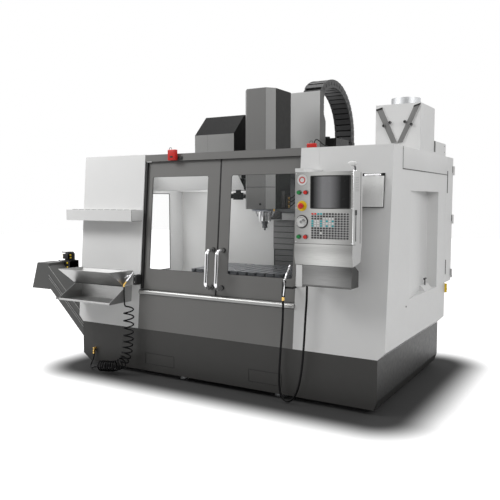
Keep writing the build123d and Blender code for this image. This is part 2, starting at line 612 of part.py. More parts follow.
def make_mist_extractor():
    """Filter box with its duct collar, crossed straps and the duct box behind it."""
    z = (ENCLOSURE_TOP, EXTRACTOR_TOP)
    box = block(EXTRACTOR_X, EXTRACTOR_Y, z)
    inside = block((EXTRACTOR_X[0] + SHEET, EXTRACTOR_X[1] - SHEET),
                   (EXTRACTOR_Y[0] + SHEET, EXTRACTOR_Y[1] - SHEET),
                   (z[0] - 1, z[1] - SHEET))
    box -= inside
    cx, cy = (EXTRACTOR_X[0] + EXTRACTOR_X[1]) / 2, (EXTRACTOR_Y[0] + EXTRACTOR_Y[1]) / 2
    box += rod((cx, cy, z[1] - SHEET), (cx, cy, z[1] + DUCT_HEIGHT), DUCT_DIAMETER)
    box -= rod((cx, cy, z[1] - 10), (cx, cy, z[1] + DUCT_HEIGHT + 1), DUCT_DIAMETER - 2 * SHEET)
    front = EXTRACTOR_Y[0]
    for side in (-1, 1):
        top_x, foot_x = cx + side * 150, cx + side * 22
        strap = [(top_x - 24, z[1] - 24 + side * 6), (top_x + 24, z[1] - 12 + side * 6),
                 (foot_x + 22, z[0] + 66), (foot_x - 22, z[0] + 61)]
        box += front_prism(strap, (front - 8, front))
        for reach, drop in ((110, 164), (60, 142)):
            x = cx + side * reach
            box += rod((x, front - 20, z[1] - drop), (x, front, z[1] - drop), 24)
    box += block((EXTRACTOR_X[1] - 65, EXTRACTOR_X[1]), (EXTRACTOR_Y[1], CABINET_FRONT - 10),
                 (z[0], z[0] + 106))
    return box


def make_tool_shelf():
    """Folded shelf with a row of holes for tool holders."""
    z0, z1 = SHELF_Z
    lip = block(SHELF_X, (SHELF_FRONT, SHELF_FRONT + SHEET), (z0, z1))
    top = side_prism([(SHELF_FRONT, z1 - SHEET), (front_y(z1 - SHEET), z1 - SHEET),
                      (front_y(z1), z1), (SHELF_FRONT, z1)], SHELF_X)
    back = leaning(SHELF_X, (z1 - 45, z1), (-SHEET, 0))
    shelf = lip + top + back
    for x in (SHELF_X[0], SHELF_X[1] - SHEET):
        gusset = [(SHELF_FRONT, z0), (SHELF_FRONT, z1), (front_y(z1), z1),
                  (front_y(z1 - 45), z1 - 45)]
        shelf += side_prism(gusset, (x, x + SHEET))
    pitch = (SHELF_X[1] - SHELF_X[0]) / SHELF_HOLES
    for i in range(SHELF_HOLES):
        x = SHELF_X[0] + pitch * (i + 0.5)
        shelf -= rod((x, 12, z1 - 10), (x, 12, z1 + 5), SHELF_HOLE)
    return shelf


def make_parts_tray():
    """Stainless trough with an open bin hung under it."""
    rim, valley, wall = -TRAY_REACH, -72.0, front_y(885)
    t = TRAY_SHEET
    trough = [(rim, 895), (valley, 762), (wall, 885), (wall - 0.2, 887.5), (valley, 762 + 1.35 * t),
              (rim, 897.5)]
    trough_sheet = side_prism(trough, TRAY_X)
    foot = front_y(625)
    floor = side_prism([(rim, 625), (foot, 625), (front_y(625 + t), 625 + t), (rim, 625 + t)], TRAY_X)
    lip = block(TRAY_X, (rim, rim + t), (625, 642))
    back = leaning(TRAY_X, (625, 764), (-t, 0))
    tray = trough_sheet + floor + lip + back
    for x in (TRAY_X[0], TRAY_X[1] - t):
        end = [(rim, 895), (valley, 762), (wall, 885), (wall, 890), (rim, 897)]
        cheek = [(rim, 625), (foot, 625), (front_y(764), 764), (valley, 764), (-60, 750), (rim, 642)]
        tray += side_prism(end, (x, x + t)) + side_prism(cheek, (x, x + t))
    knob = rod((TRAY_X[0] - 42, rim + 8, 634), (TRAY_X[0] + 1, rim + 8, 634), 12)
    return tray + knob


# Chip auger
def auger_floor(x):
    """Height of the trough's underside at x."""
    return AUGER_WALL_Z + AUGER_SLOPE * (-BASE_HALF - x)


def auger_axis(x):
    """Height of the auger's centre line at x."""
    return auger_floor(x) + AUGER_HEIGHT / 2 * math.hypot(1, AUGER_SLOPE)


def make_auger_trough():
    """Inclined trough, the chute at its top end and the gear motor on it."""
    rise = AUGER_HEIGHT * math.hypot(1, AUGER_SLOPE)
    skin = AUGER_SHEET * math.hypot(1, AUGER_SLOPE)
    x0, x1 = CHUTE_RIGHT, AUGER_INNER_END
    outer = [(x0, auger_floor(x0)), (x1, auger_floor(x1)), (x1, auger_floor(x1) + rise),
             (x0, auger_floor(x0) + rise)]
    inner = [(x0 - 10, auger_floor(x0 - 10) + skin), (x1 + 10, auger_floor(x1 + 10) + skin),
             (x1 + 10, auger_floor(x1 + 10) + rise - skin),
             (x0 - 10, auger_floor(x0 - 10) + rise - skin)]
    trough = front_prism(outer, AUGER_Y)
    hood_outline = [(-AUGER_REACH, CHUTE_Z[0]), (x0, CHUTE_Z[0]), (x0, CHUTE_Z[1]),
                    (CHUTE_TOP_LEFT, CHUTE_Z[1])]
    hood = front_prism(hood_outline, (AUGER_Y[0], CHUTE_BACK))
    hood_inner = [(-AUGER_REACH + AUGER_SHEET + 1, CHUTE_Z[0] - 1),
                  (x0 - AUGER_SHEET, CHUTE_Z[0] - 1), (x0 - AUGER_SHEET, CHUTE_Z[1] - AUGER_SHEET),
                  (CHUTE_TOP_LEFT + AUGER_SHEET, CHUTE_Z[1] - AUGER_SHEET)]
    hood -= front_prism(hood_inner, (AUGER_Y[0] + AUGER_SHEET, CHUTE_BACK - AUGER_SHEET))
    body = trough + hood
    body -= front_prism(inner, (AUGER_Y[0] + AUGER_SHEET, AUGER_Y[1] - AUGER_SHEET))
    for edge in (AUGER_Y[0] - 4, AUGER_Y[1]):
        rib = [(x0, auger_floor(x0) + rise * 0.45), (-BASE_HALF - CORNER_CUT - 8, auger_floor(-BASE_HALF - CORNER_CUT - 8) + rise * 0.45),
               (-BASE_HALF - CORNER_CUT - 8, auger_floor(-BASE_HALF - CORNER_CUT - 8) + rise * 0.58), (x0, auger_floor(x0) + rise * 0.58)]
        body += front_prism(rib, (edge, edge + 4))
    bearing_x = x0 - 25
    height = auger_axis(bearing_x)
    along = Plane(origin=(bearing_x, AUGER_Y[0] + AUGER_SHEET, height),
                  x_dir=(-1, 0, AUGER_SLOPE), z_dir=(0, 1, 0))
    body += extrude(along * Rectangle(22, 64), amount=CHUTE_BACK - AUGER_Y[0] - 2 * AUGER_SHEET)
    body -= rod((bearing_x + 40, SCREW_Y, height - 40 * AUGER_SLOPE),
                (bearing_x - 40, SCREW_Y, height + 40 * AUGER_SLOPE), 2 * (SCREW_SHAFT + RUN_FIT))
    top = CHUTE_Z[1] + 9
    y0, y1 = CHUTE_BACK, CHUTE_BACK + 124
    gearbox = block((x0 - 50, x0 + 66), (y0, y1), (top - 84, top))
    middle = ((x0 + 12), (y0 + y1) / 2)
    motor = rod((*middle, top), (*middle, top + 70), 84)
    for i in range(4):
        z = top + 8 + 15 * i
        motor += rod((*middle, z), (*middle, z + 6), 96)
    motor += rod((*middle, top + 70), (*middle, top + 84), 74)
    motor += block((middle[0] - 34, middle[0] + 34), (y0 + 2, y0 + 30), (top + 18, top + 66))
    return body + gearbox + motor


def make_auger_screw():
    """Shaft with a helical flight along the inclined trough."""
    low = Vector(-1352.0, SCREW_Y, auger_axis(-1352.0))
    high = Vector(-1962.0, SCREW_Y, auger_axis(-1962.0))
    length = (high - low).length
    shaft = Pos(0, 0, length / 2) * Cylinder(SCREW_SHAFT, length)
    flight_length = length - 130
    middle = (SCREW_RADIUS + SCREW_SHAFT - 3) / 2
    path = Helix(SCREW_PITCH, flight_length, middle)
    section = Plane(origin=(middle, 0, 0), x_dir=(1, 0, 0), z_dir=(0, 1, 0)) * Rectangle(
        SCREW_RADIUS - SCREW_SHAFT + 3, 5)
    flight = sweep(section, path=path, is_frenet=True)
    screw = shaft + Pos(0, 0, 25) * flight
    return Plane(origin=low, z_dir=high - low) * screw


# Axes
def rail_bar(length):
    """Profiled guide rail lying along x, standing on z = 0."""
    w, h = RAIL_WIDTH / 2, RAIL_HEIGHT
    half = [(-w, 0), (w, 0), (w, 0.35 * h), (w - 5, 0.5 * h), (w - 5, 0.68 * h), (w, 0.8 * h),
            (w, h), (-w, h), (-w, 0.8 * h), (-w + 5, 0.68 * h), (-w + 5, 0.5 * h), (-w, 0.35 * h)]
    return side_prism(half, (-length / 2, length / 2))


def make_bed_rails():
    """Guide rails of the cross slide, on the bed."""
    length = Y_RAIL_SPAN[1] - Y_RAIL_SPAN[0]
    middle = sum(Y_RAIL_SPAN) / 2
    bar = Rot(0, 0, 90) * rail_bar(length)
    return group([Pos(side * Y_RAIL_X, middle, BED_TOP) * bar for side in (-1, 1)])


def make_column_rails():
    """Guide rails of the head, up the column's face."""
    length = Z_RAIL_SPAN[1] - Z_RAIL_SPAN[0]
    middle = sum(Z_RAIL_SPAN) / 2
    rails = []
    for side in (-1, 1):
        rail = Plane(origin=(side * Z_RAIL_X, COLUMN_FRONT, middle), x_dir=(0, 0, 1),
                     z_dir=(0, -1, 0)) * rail_bar(length)
        rails.append(rail & block((-BIG, BIG), (COLUMN_FRONT - Z_RAIL_HEIGHT, BIG), (0, BIG)))
    return group(rails)


def make_saddle():
    """Cross slide: carriages on the bed rails below, carriages for the table above."""
    y = (SPINDLE_Y - SADDLE_HALF_LENGTH, SPINDLE_Y + SADDLE_HALF_LENGTH)
    body = block((-SADDLE_HALF_WIDTH, SADDLE_HALF_WIDTH), y, (SADDLE_BOTTOM, SADDLE_TOP))
    body -= block((-SADDLE_HALF_WIDTH + 70, SADDLE_HALF_WIDTH - 70), (y[0] + 60, y[1] - 60),
                  (SADDLE_BOTTOM - 1, SADDLE_TOP - 40))
    body += block((-30, 30), y, (SADDLE_BOTTOM, SADDLE_TOP))
    slot = RAIL_WIDTH / 2 + RAIL_CLEARANCE
    for side in (-1, 1):
        for end in (y[0] + 60, y[1] - 60):
            x = side * Y_RAIL_X
            body += block((x - 50, x + 50), (end - 60, end + 60), (BED_TOP + 14, SADDLE_BOTTOM))
        body -= block((x - slot, x + slot), (y[0] - 5, y[1] + 5),
                      (BED_TOP, BED_TOP + RAIL_HEIGHT + RAIL_CLEARANCE))
        rail_y = SPINDLE_Y + side * TABLE_RAIL_SPREAD
        underside = TABLE_TOP - TABLE_THICKNESS
        for x in (-115.0, 115.0):
            body += block((x - 50, x + 50), (rail_y - 48, rail_y + 48), (SADDLE_TOP, underside - 12))
        body -= block((-170, 170), (rail_y - slot, rail_y + slot),
                      (underside - RAIL_HEIGHT - RAIL_CLEARANCE, underside))
    return body


def make_work_table():
    """Table with T slots from front to back and its two guide rails below."""
    x = (TABLE_REST_X - TABLE_LENGTH / 2, TABLE_REST_X + TABLE_LENGTH / 2)
    y = (SPINDLE_Y - TABLE_WIDTH / 2, SPINDLE_Y + TABLE_WIDTH / 2)
    underside = TABLE_TOP - TABLE_THICKNESS
    table = block(x, y, (underside, TABLE_TOP))
    pitch = TABLE_LENGTH / T_SLOTS
    w, head = T_SLOT_WIDTH / 2, T_SLOT_HEAD_WIDTH / 2
    for i in range(T_SLOTS):
        c = x[0] + pitch * (i + 0.5)
        neck = TABLE_TOP - T_SLOT_NECK
        slot = [(c - w, TABLE_TOP + 1), (c - w, neck), (c - head, neck), (c - head, neck - T_SLOT_HEAD),
                (c + head, neck - T_SLOT_HEAD), (c + head, neck), (c + w, neck), (c + w, TABLE_TOP + 1)]
        table -= front_prism(slot, (y[0] - 1, y[1] + 1))
        table -= rod((c, y[0] - 1, underside + 38), (c, y[0] + 16, underside + 38), TABLE_EDGE_HOLE)
    for side in (-1, 1):
        rail = Pos(TABLE_REST_X, SPINDLE_Y + side * TABLE_RAIL_SPREAD, underside)
        table += rail * Rot(180, 0, 0) * rail_bar(TABLE_LENGTH - 60)
    return table


def make_column_casting():
    """Column with ribbed pockets, the carrier's end bracket and the junction box."""
    column = block((-COLUMN_HALF_WIDTH, COLUMN_HALF_WIDTH), (COLUMN_FRONT, COLUMN_BACK),
                   (FOOTING_TOP, COLUMN_TOP))
    cells = 3
    height = (COLUMN_TOP - FOOTING_TOP - (cells + 1) * COLUMN_WALL) / cells
    for i in range(cells):
        low = FOOTING_TOP + COLUMN_WALL + i * (height + COLUMN_WALL)
        column -= block((-COLUMN_HALF_WIDTH + COLUMN_WALL, COLUMN_HALF_WIDTH - COLUMN_WALL),
                        (COLUMN_FRONT + COLUMN_WALL + 20, COLUMN_BACK + 1), (low, low + height))
        column -= block((-COLUMN_HALF_WIDTH - 1, COLUMN_HALF_WIDTH + 1),
                        (COLUMN_FRONT + 150, COLUMN_BACK - 110), (low + 60, low + height - 60))
    box_top = COLUMN_TOP + JUNCTION_HEIGHT
    box = block((150, 330), (COLUMN_FRONT + 70, COLUMN_BACK - 90), (COLUMN_TOP, box_top))
    for x, y in ((200, COLUMN_FRONT + 140), (270, COLUMN_FRONT + 270)):
        box += rod((x, y, box_top), (x, y, box_top + 22), 60)
    inner_faces = (CARRIER_X[0] - CARRIER_PIN_HEAD - SEAT_GAP, CARRIER_X[1] + CARRIER_PIN_HEAD + SEAT_GAP)
    for face, side in zip(inner_faces, (-1, 1)):
        cheek = (min(face, face + side * GUIDE_PLATE), max(face, face + side * GUIDE_PLATE))
        box += block(cheek, (COLUMN_BACK, CARRIER_BACK - 10), (GUIDE_FOOT, GUIDE_FOOT + 90))
        box += block(cheek, (CARRIER_BACK - CARRIER_DEPTH, CARRIER_BACK - 10), (GUIDE_FOOT, GUIDE_TOP))
    box += block(inner_faces, (COLUMN_BACK, COLUMN_BACK + GUIDE_PLATE), (GUIDE_FOOT, GUIDE_FOOT + 90))
    return column + box


def make_column_shutter():
    """Fixed lower leaves of the column's telescopic cover."""
    half = PLATE_HALF_WIDTH - 6
    low, high = FIXED_LEAF_Z
    face = FIXED_LEAF_FRONT
    shutter = block((-half, half), (face, face + 3), (low, high))
    count = int((high - low) / SLAT_PITCH)
    for i in range(count):
        z = low + SLAT_PITCH * (i + 1)
        shutter += block((-half, half), (face - 5, face), (z - 5, z))
    for side in (-1, 1):
        x = side * (half - 9)
        shutter += block((x - 9, x + 9), (face + 3, COLUMN_FRONT), (low, low + 50))
    return shutter


# Head
def make_head_casting():
    """Head: spindle barrel, arm, the slide that rides the column and the coolant ring."""
    flange_y = HEAD_SLIDE_BACK - 30
    low, high = HEAD_SLIDE_Z
    side = [(SPINDLE_Y - 74, HEAD_BOTTOM), (COVER_BACK, HEAD_BOTTOM), (flange_y - 100, low + 37),
            (flange_y, low), (flange_y, high), (flange_y - 100, high + 95), (COVER_BACK - 30, HEAD_TOP),
            (SPINDLE_Y - 74, HEAD_TOP)]
    head = side_prism(side, (-HEAD_HALF_WIDTH, HEAD_HALF_WIDTH))
    pocket = [(COVER_BACK + 10, HEAD_BOTTOM + 56), (flange_y - 130, low + 100),
              (flange_y - 130, high + 35), (COVER_BACK + 10, HEAD_TOP - 60)]
    for x in ((-HEAD_HALF_WIDTH - 1, -15), (15, HEAD_HALF_WIDTH + 1)):
        head -= side_prism(pocket, x)
    head += block((-Z_RAIL_X - 50, Z_RAIL_X + 50), (flange_y, HEAD_SLIDE_BACK), HEAD_SLIDE_Z)
    slot = RAIL_WIDTH / 2 + RAIL_CLEARANCE
    for x in (-Z_RAIL_X, Z_RAIL_X):
        for z in (low, high - 90):
            head += block((x - 46, x + 46), (HEAD_SLIDE_BACK, COLUMN_FRONT - 12), (z, z + 90))
        head -= block((x - slot, x + slot),
                      (COLUMN_FRONT - Z_RAIL_HEIGHT - RAIL_CLEARANCE, COLUMN_FRONT), (low - 45, high + 35))
    top = (0, SPINDLE_Y, HEAD_TOP + 1)
    head -= rod((0, SPINDLE_Y, HEAD_BOTTOM - 1), top, SPINDLE_SHAFT + 2 * RUN_FIT)
    ring = rod((0, SPINDLE_Y, 1397), (0, SPINDLE_Y, HEAD_BOTTOM), 170)
    ring += rod((0, SPINDLE_Y, 1400), (0, SPINDLE_Y, 1416), COOLANT_RING)
    for i in range(8):
        turn = math.radians(45 * i + 10)
        start = (90 * math.cos(turn), SPINDLE_Y + 90 * math.sin(turn), 1408)
        end = (72 * math.cos(turn), SPINDLE_Y + 72 * math.sin(turn), 1352)
        ring += rod(start, end, 9)
    ring -= rod((0, SPINDLE_Y, 1390), (0, SPINDLE_Y, HEAD_BOTTOM), SPINDLE_SHAFT + 2 * RUN_FIT)
    return head + ring


def cover_outline(inset, z):
    """Plan of the head's sheet metal cover, moved inward."""
    face, half = COVER_HALF_FACE - 0.6 * inset, COVER_HALF_WIDTH - inset
    points = [(-face, COVER_FRONT + inset), (face, COVER_FRONT + inset),
              (half, COVER_SHOULDER + 0.4 * inset), (half, COVER_BACK), (-half, COVER_BACK),
              (-half, COVER_SHOULDER + 0.4 * inset)]
    return make_face(Polyline(*[(a, b, z) for a, b in points], close=True))


def make_head_cover():
    """Tall cover over the spindle drive and the lower nose cover, with a seam between."""
    height = COVER_TOP - COVER_BOTTOM
    cover = extrude(cover_outline(0, COVER_BOTTOM), amount=height, dir=(0, 0, 1))
    inner = extrude(cover_outline(COVER_SHEET, COVER_BOTTOM + COVER_SHEET),
                    amount=height - 2 * COVER_SHEET, dir=(0, 0, 1))
    cover -= inner
    cover -= rod((0, SPINDLE_Y, COVER_BOTTOM - 1), (0, SPINDLE_Y, COVER_BOTTOM + 5), 172)
    seam = extrude(cover_outline(-1, COVER_SEAM), amount=3, dir=(0, 0, 1))
    cover -= seam - extrude(cover_outline(1.5, COVER_SEAM - 1), amount=5, dir=(0, 0, 1))
    cover -= block((-HEAD_HALF_WIDTH, HEAD_HALF_WIDTH), (COVER_BACK - 4, COVER_BACK + 1),
                   (COVER_BOTTOM - 1, HEAD_TOP + 3))
    cover -= rod((42, COVER_FRONT - 1, 1463), (42, COVER_FRONT + 6, 1463), 18)
    for z in (1445.0, 1480.0, 1515.0):
        cover += rod((COVER_HALF_WIDTH, 1040, z), (COVER_HALF_WIDTH + 26, 1040, z), 18)
        cover += rod((COVER_HALF_WIDTH + 16, 1040, z), (COVER_HALF_WIDTH + 24, 1040, z), 26)
    cover += block((COVER_HALF_WIDTH, COVER_HALF_WIDTH + 14), (1000, 1085), (1430, 1540))
    return cover


def make_column_cover_plate():
    """Plate behind the head that rises with it, and the leaves that hang below."""
    half, front = PLATE_HALF_WIDTH, PLATE_FRONT
    z = (PLATE_BOTTOM, PLATE_TOP)
    plate = block((-half, half), (front, front + SHEET), z)
    plate += block((-half, half), (front, front + PLATE_FLANGE), (z[1] - SHEET, z[1]))
    for x in ((-half, -half + SHEET), (half - SHEET, half)):
        flange = [(front, z[0]), (front, z[1]), (front + PLATE_FLANGE, z[1]),
                  (front + PLATE_FLANGE, PLATE_DEEP_TOP + 90), (front + PLATE_DEEP_FLANGE, PLATE_DEEP_TOP),
                  (front + PLATE_DEEP_FLANGE, z[0])]
        plate += side_prism(flange, x)
    plate -= block((-HEAD_HALF_WIDTH, HEAD_HALF_WIDTH), (front - 1, front + 4),
                   (HEAD_SLIDE_Z[0] + 25, HEAD_SLIDE_Z[1] + 105))
    leaf_y, low = LEAF_FRONT, LEAF_FOOT
    plate += block((-half, half), (front, leaf_y + SHEET), (z[0], z[0] + SHEET))
    plate += block((-half, half), (leaf_y, leaf_y + SHEET), (low, z[0]))
    count = int((z[0] - low) / SLAT_PITCH)
    for i in range(count):
        height = low + SLAT_PITCH * (i + 1)
        plate += block((-half, half), (leaf_y - 5, leaf_y), (height - 5, height))
    return plate


def make_spindle():
    """Spindle shaft with its nose and taper."""
    spindle = rod((0, SPINDLE_Y, SPINDLE_FACE_Z), (0, SPINDLE_Y, 1391), SPINDLE_NOSE)
    spindle += rod((0, SPINDLE_Y, 1391), (0, SPINDLE_Y, 1852), SPINDLE_SHAFT)
    taper = Plane(origin=(0, SPINDLE_Y, SPINDLE_FACE_Z)) * Pos(0, 0, 34) * Cone(22.4, 12.5, 68)
    spindle -= taper
    for side in (-1, 1):
        spindle += block((side * 44 - 8, side * 44 + 8), (SPINDLE_Y - 7.9, SPINDLE_Y + 7.9),
                         (SPINDLE_FACE_Z - 8, SPINDLE_FACE_Z))
    return spindle


def make_tool_holder():
    """Collet holder in the taper, with an end mill."""
    z = SPINDLE_FACE_Z
    holder = Plane(origin=(0, SPINDLE_Y, z)) * Pos(0, 0, 32) * Cone(22.1, 12.6, 64)
    holder += rod((0, SPINDLE_Y, z - 3), (0, SPINDLE_Y, z), 44.2)
    holder += rod((0, SPINDLE_Y, z - 22), (0, SPINDLE_Y, z - 3), HOLDER_FLANGE)
    holder -= (rod((0, SPINDLE_Y, z - 15), (0, SPINDLE_Y, z - 10), HOLDER_FLANGE + 2)
               - rod((0, SPINDLE_Y, z - 15), (0, SPINDLE_Y, z - 10), HOLDER_FLANGE - 9))
    for side in (-1, 1):
        holder -= block((side * 44 - 20, side * 44 + 20), (SPINDLE_Y - 8.1, SPINDLE_Y + 8.1),
                        (z - 23, z - 2))
    holder += rod((0, SPINDLE_Y, z - 48), (0, SPINDLE_Y, z - 22), 46)
    holder += rod((0, SPINDLE_Y, z - 62), (0, SPINDLE_Y, z - 48), 50)
    return holder + rod((0, SPINDLE_Y, z - 84), (0, SPINDLE_Y, z - 62), CUTTER_DIAMETER)


# Cable carrier
def carrier_centres():
    """Centres of the wide loop and of the tighter front bend that joins it."""
    loop = (CARRIER_BACK - CARRIER_LOOP_RADIUS, 2185.0)
    bend_y = CARRIER_FRONT + CARRIER_FRONT_RADIUS
    reach = CARRIER_LOOP_RADIUS - CARRIER_FRONT_RADIUS
    bend_z = loop[1] + math.sqrt(reach ** 2 - (loop[0] - bend_y) ** 2)
    return loop, (bend_y, bend_z)


def carrier_stations(count):
    """Evenly spaced stations on the carrier's middle line: (y, z, heading in degrees)."""
    loop, bend = carrier_centres()
    meet = math.degrees(math.atan2(bend[1] - loop[1], bend[0] - loop[0]))
    front_r = CARRIER_FRONT_RADIUS - CARRIER_DEPTH / 2
    loop_r = CARRIER_LOOP_RADIUS - CARRIER_DEPTH / 2
    front_y_mid = CARRIER_FRONT + CARRIER_DEPTH / 2
    back_y_mid = CARRIER_BACK - CARRIER_DEPTH / 2
    spans = [bend[1] - CARRIER_FRONT_FOOT, math.radians(180 - meet) * front_r,
             math.radians(meet) * loop_r, loop[1] - CARRIER_BACK_FOOT]
    pitch = sum(spans) / count
    stations = []
    for i in range(count):
        s = pitch * (i + 0.5)
        if s < spans[0]:
            stations.append((front_y_mid, CARRIER_FRONT_FOOT + s, 90.0))
            continue
        s -= spans[0]
        if s < spans[1]:
            a = math.radians(180) - s / front_r
            stations.append((bend[0] + front_r * math.cos(a), bend[1] + front_r * math.sin(a),
                             math.degrees(a) - 90))
            continue
        s -= spans[1]
        if s < spans[2]:
            a = math.radians(meet) - s / loop_r
            stations.append((loop[0] + loop_r * math.cos(a), loop[1] + loop_r * math.sin(a),
                             math.degrees(a) - 90))
            continue
        stations.append((back_y_mid, loop[1] - (s - spans[2]), -90.0))
    return stations, pitch


def make_cable_carrier():
    """Chain of links: two side plates, joined by a bar above and one below."""
    stations, pitch = carrier_stations(CARRIER_LINKS)
    half, d = pitch / 2, CARRIER_DEPTH / 2
    links = []
    for y, z, heading in stations:
        place = Pos(0, y, z) * Rot(heading, 0, 0)
        plate = [(-half - 6, -d + 12), (-half + 8, -d), (half - 8, -d), (half + 6, -d + 12),
                 (half + 6, d - 12), (half - 8, d), (-half + 8, d), (-half - 6, d - 12)]
        for x in (CARRIER_X[0], CARRIER_X[1] - CARRIER_PLATE):
            links.append(place * side_prism(plate, (x, x + CARRIER_PLATE)))
        for edge in (-d + 2, d - 10):
            links.append(place * block(CARRIER_X, (-half + 9, half - 9), (edge, edge + 8)))
        for x in ((CARRIER_X[0] - CARRIER_PIN_HEAD, CARRIER_X[0]),
                  (CARRIER_X[1], CARRIER_X[1] + CARRIER_PIN_HEAD)):
            links.append(place * rod((x[0], 0, 0), (x[1], 0, 0), 34))
    return links[0].fuse(*links[1:])


# Tool changer
def octagon(inset):
    """(y, z) outline of the changer's eight-sided cover, moved inward."""
    middle = CHANGER_AXIS[0]
    y0, y1 = middle - CHANGER_HALF + inset, middle + CHANGER_HALF - inset
    z0, z1 = CHANGER_Z[0] + inset, CHANGER_Z[1] - inset
    less = 0.586 * inset
    c = CHANGER_CORNER - less
    return [(y0, z0 + CHANGER_TOE_RISE - less), (y0, z1 - c), (y0 + c, z1), (y1 - c, z1),
            (y1, z1 - c), (y1, z0 + c), (y1 - c, z0), (y0 + CHANGER_TOE_RUN - less, z0)]


def make_tool_changer_housing():
    """Cover around the carousel, the arm's drive and the bracket to the column."""
    t = CHANGER_SHEET
    cy, cz = CHANGER_AXIS
    housing = side_prism(octagon(0), CHANGER_X)
    housing -= side_prism(octagon(t), (CHANGER_X[0] + t, CHANGER_X[1] - t))
    housing -= rod((CHANGER_X[0] - 1, cy, cz), (CHANGER_X[0] + t + 1, cy, cz), 2 * (POT_CIRCLE + 46))
    housing -= rod((CHANGER_X[1] - t - 1, cy, cz), (CHANGER_X[1] + 1, cy, cz), 60 + 2 * RUN_FIT)
    housing -= block((CHANGER_X[0] + 150, CHANGER_X[0] + 153), (cy - CHANGER_HALF - 1, cy - CHANGER_HALF + 1),
                     (CHANGER_Z[0] + CHANGER_TOE_RISE, CHANGER_Z[1] - CHANGER_CORNER))
    drive = block((CHANGER_X[1], ARM_X + 70), (SPINDLE_Y - 60, cy - CHANGER_HALF + 160), ARM_DRIVE_Z)
    drive += rod((ARM_X, SPINDLE_Y, ARM_DRIVE_Z[0] - 100), (ARM_X, SPINDLE_Y, ARM_DRIVE_Z[0]), 120)
    drive -= rod((ARM_X, SPINDLE_Y, ARM_DRIVE_Z[0] - 110), (ARM_X, SPINDLE_Y, ARM_SHAFT_TOP + 5),
                 ARM_SHAFT + 2 * RUN_FIT)
    bracket = block((CHANGER_X[1], -COLUMN_HALF_WIDTH), (COLUMN_FRONT, COLUMN_FRONT + 55), (1780, 1900))
    return housing + drive + bracket


def make_tool_carousel():
    """Disc on its shaft with the tool pots round the rim, and the tools in them."""
    cy, cz = CHANGER_AXIS
    disc = rod((-700, cy, cz), (-660, cy, cz), 2 * (POT_CIRCLE + 20))
    disc -= rod((-701, cy, cz), (-688, cy, cz), 2 * (POT_CIRCLE - 60))
    shaft = rod((-690, cy, cz), (CHANGER_X[1] - 1, cy, cz), 60)
    pieces = []
    for i in range(POTS):
        turn = 2 * math.pi * i / POTS
        y, z = cy + POT_CIRCLE * math.cos(turn), cz + POT_CIRCLE * math.sin(turn)
        pot = rod((-800, y, z), (-640, y, z), POT_DIAMETER)
        reach, width = ((-868, 58), (-852, 40), (-878, 24))[i % 3]
        pieces.append(pot + rod((reach, y, z), (-800, y, z), width))
    return disc.fuse(shaft, *pieces)


def make_tool_arm():
    """Double arm with a gripper fork at each end, parked front to back."""
    arm = rod((ARM_X, SPINDLE_Y, ARM_Z[0]), (ARM_X, SPINDLE_Y, ARM_SHAFT_TOP), ARM_SHAFT)
    arm += rod((ARM_X, SPINDLE_Y, ARM_Z[0] - 12), (ARM_X, SPINDLE_Y, ARM_Z[1] + 15), 96)
    outline = [(-22, -ARM_REACH), (-34, -120), (-34, 120), (-22, ARM_REACH), (22, ARM_REACH),
               (34, 120), (34, -120), (22, -ARM_REACH)]
    face = make_face(Polyline(*[(ARM_X + a, SPINDLE_Y + b, ARM_Z[0]) for a, b in outline], close=True))
    arm += extrude(face, amount=ARM_Z[1] - ARM_Z[0], dir=(0, 0, 1))
    for side in (-1, 1):
        y = SPINDLE_Y + side * ARM_REACH
        arm += rod((ARM_X, y, ARM_Z[0] + 5), (ARM_X, y, ARM_Z[1] - 5), 92)
        arm -= rod((ARM_X, y, ARM_Z[0]), (ARM_X, y, ARM_Z[1]), 60)
        arm -= block((ARM_X - side * 60 - 60, ARM_X - side * 60 + 60), (y - 22, y + 22), ARM_Z)
    return arm


# Doors
def make_door(x, window_x):
    """Folded door leaf: outer skin, edges turned in, and a rounded window."""
    z = (SILL_TOP + SLIDE_GAP, DOOR_TOP)
    front = DOOR_SETBACK
    leaf = leaning(x, z, (front, front + DOOR_THICKNESS))
    border = 34.0
    pocket = leaning((x[0] + DOOR_SKIN, x[1] - DOOR_SKIN), (z[0] + DOOR_SKIN, z[1] - DOOR_SKIN),
                     (front + DOOR_SKIN, front + DOOR_THICKNESS + 5))
    rim = leaning((window_x[0] - border, window_x[1] + border),
                  (WINDOW_Z[0] - border, WINDOW_Z[1] + border),
                  (front + DOOR_SKIN, front + DOOR_THICKNESS))
    rim -= leaning((window_x[0] - GLASS_LAP, window_x[1] + GLASS_LAP),
                   (WINDOW_Z[0] - GLASS_LAP, WINDOW_Z[1] + GLASS_LAP),
                   (front, front + DOOR_THICKNESS + 5))
    leaf = (leaf - pocket) + rim
    return leaf - rounded_hole(window_x, WINDOW_Z, WINDOW_RADIUS)


def make_door_window(x):
    return leaning((x[0] - GLASS_LAP, x[1] + GLASS_LAP), (WINDOW_Z[0] - GLASS_LAP, WINDOW_Z[1] + GLASS_LAP),
                   (DOOR_SETBACK + DOOR_SKIN, DOOR_SETBACK + DOOR_SKIN + GLASS))


def make_door_handle(x):
    """Bow handle of bent tube standing off the door."""
    low, high = HANDLE_CENTRE_Z - HANDLE_HEIGHT / 2, HANDLE_CENTRE_Z + HANDLE_HEIGHT / 2
    bend = 42.0

    def point(z, off):
        return (x, front_y(z) + DOOR_SETBACK - off, z)

    route = FilletPolyline(point(low, 0), point(low, HANDLE_STANDOFF), point(high, HANDLE_STANDOFF),
                           point(high, 0), radius=bend)
    section = Plane(origin=route @ 0, z_dir=route % 0) * Circle(HANDLE_TUBE / 2)
    handle = sweep(section, path=route)
    return handle & leaning((x - 60, x + 60), (low - 60, high + 60), (-200, DOOR_SETBACK))


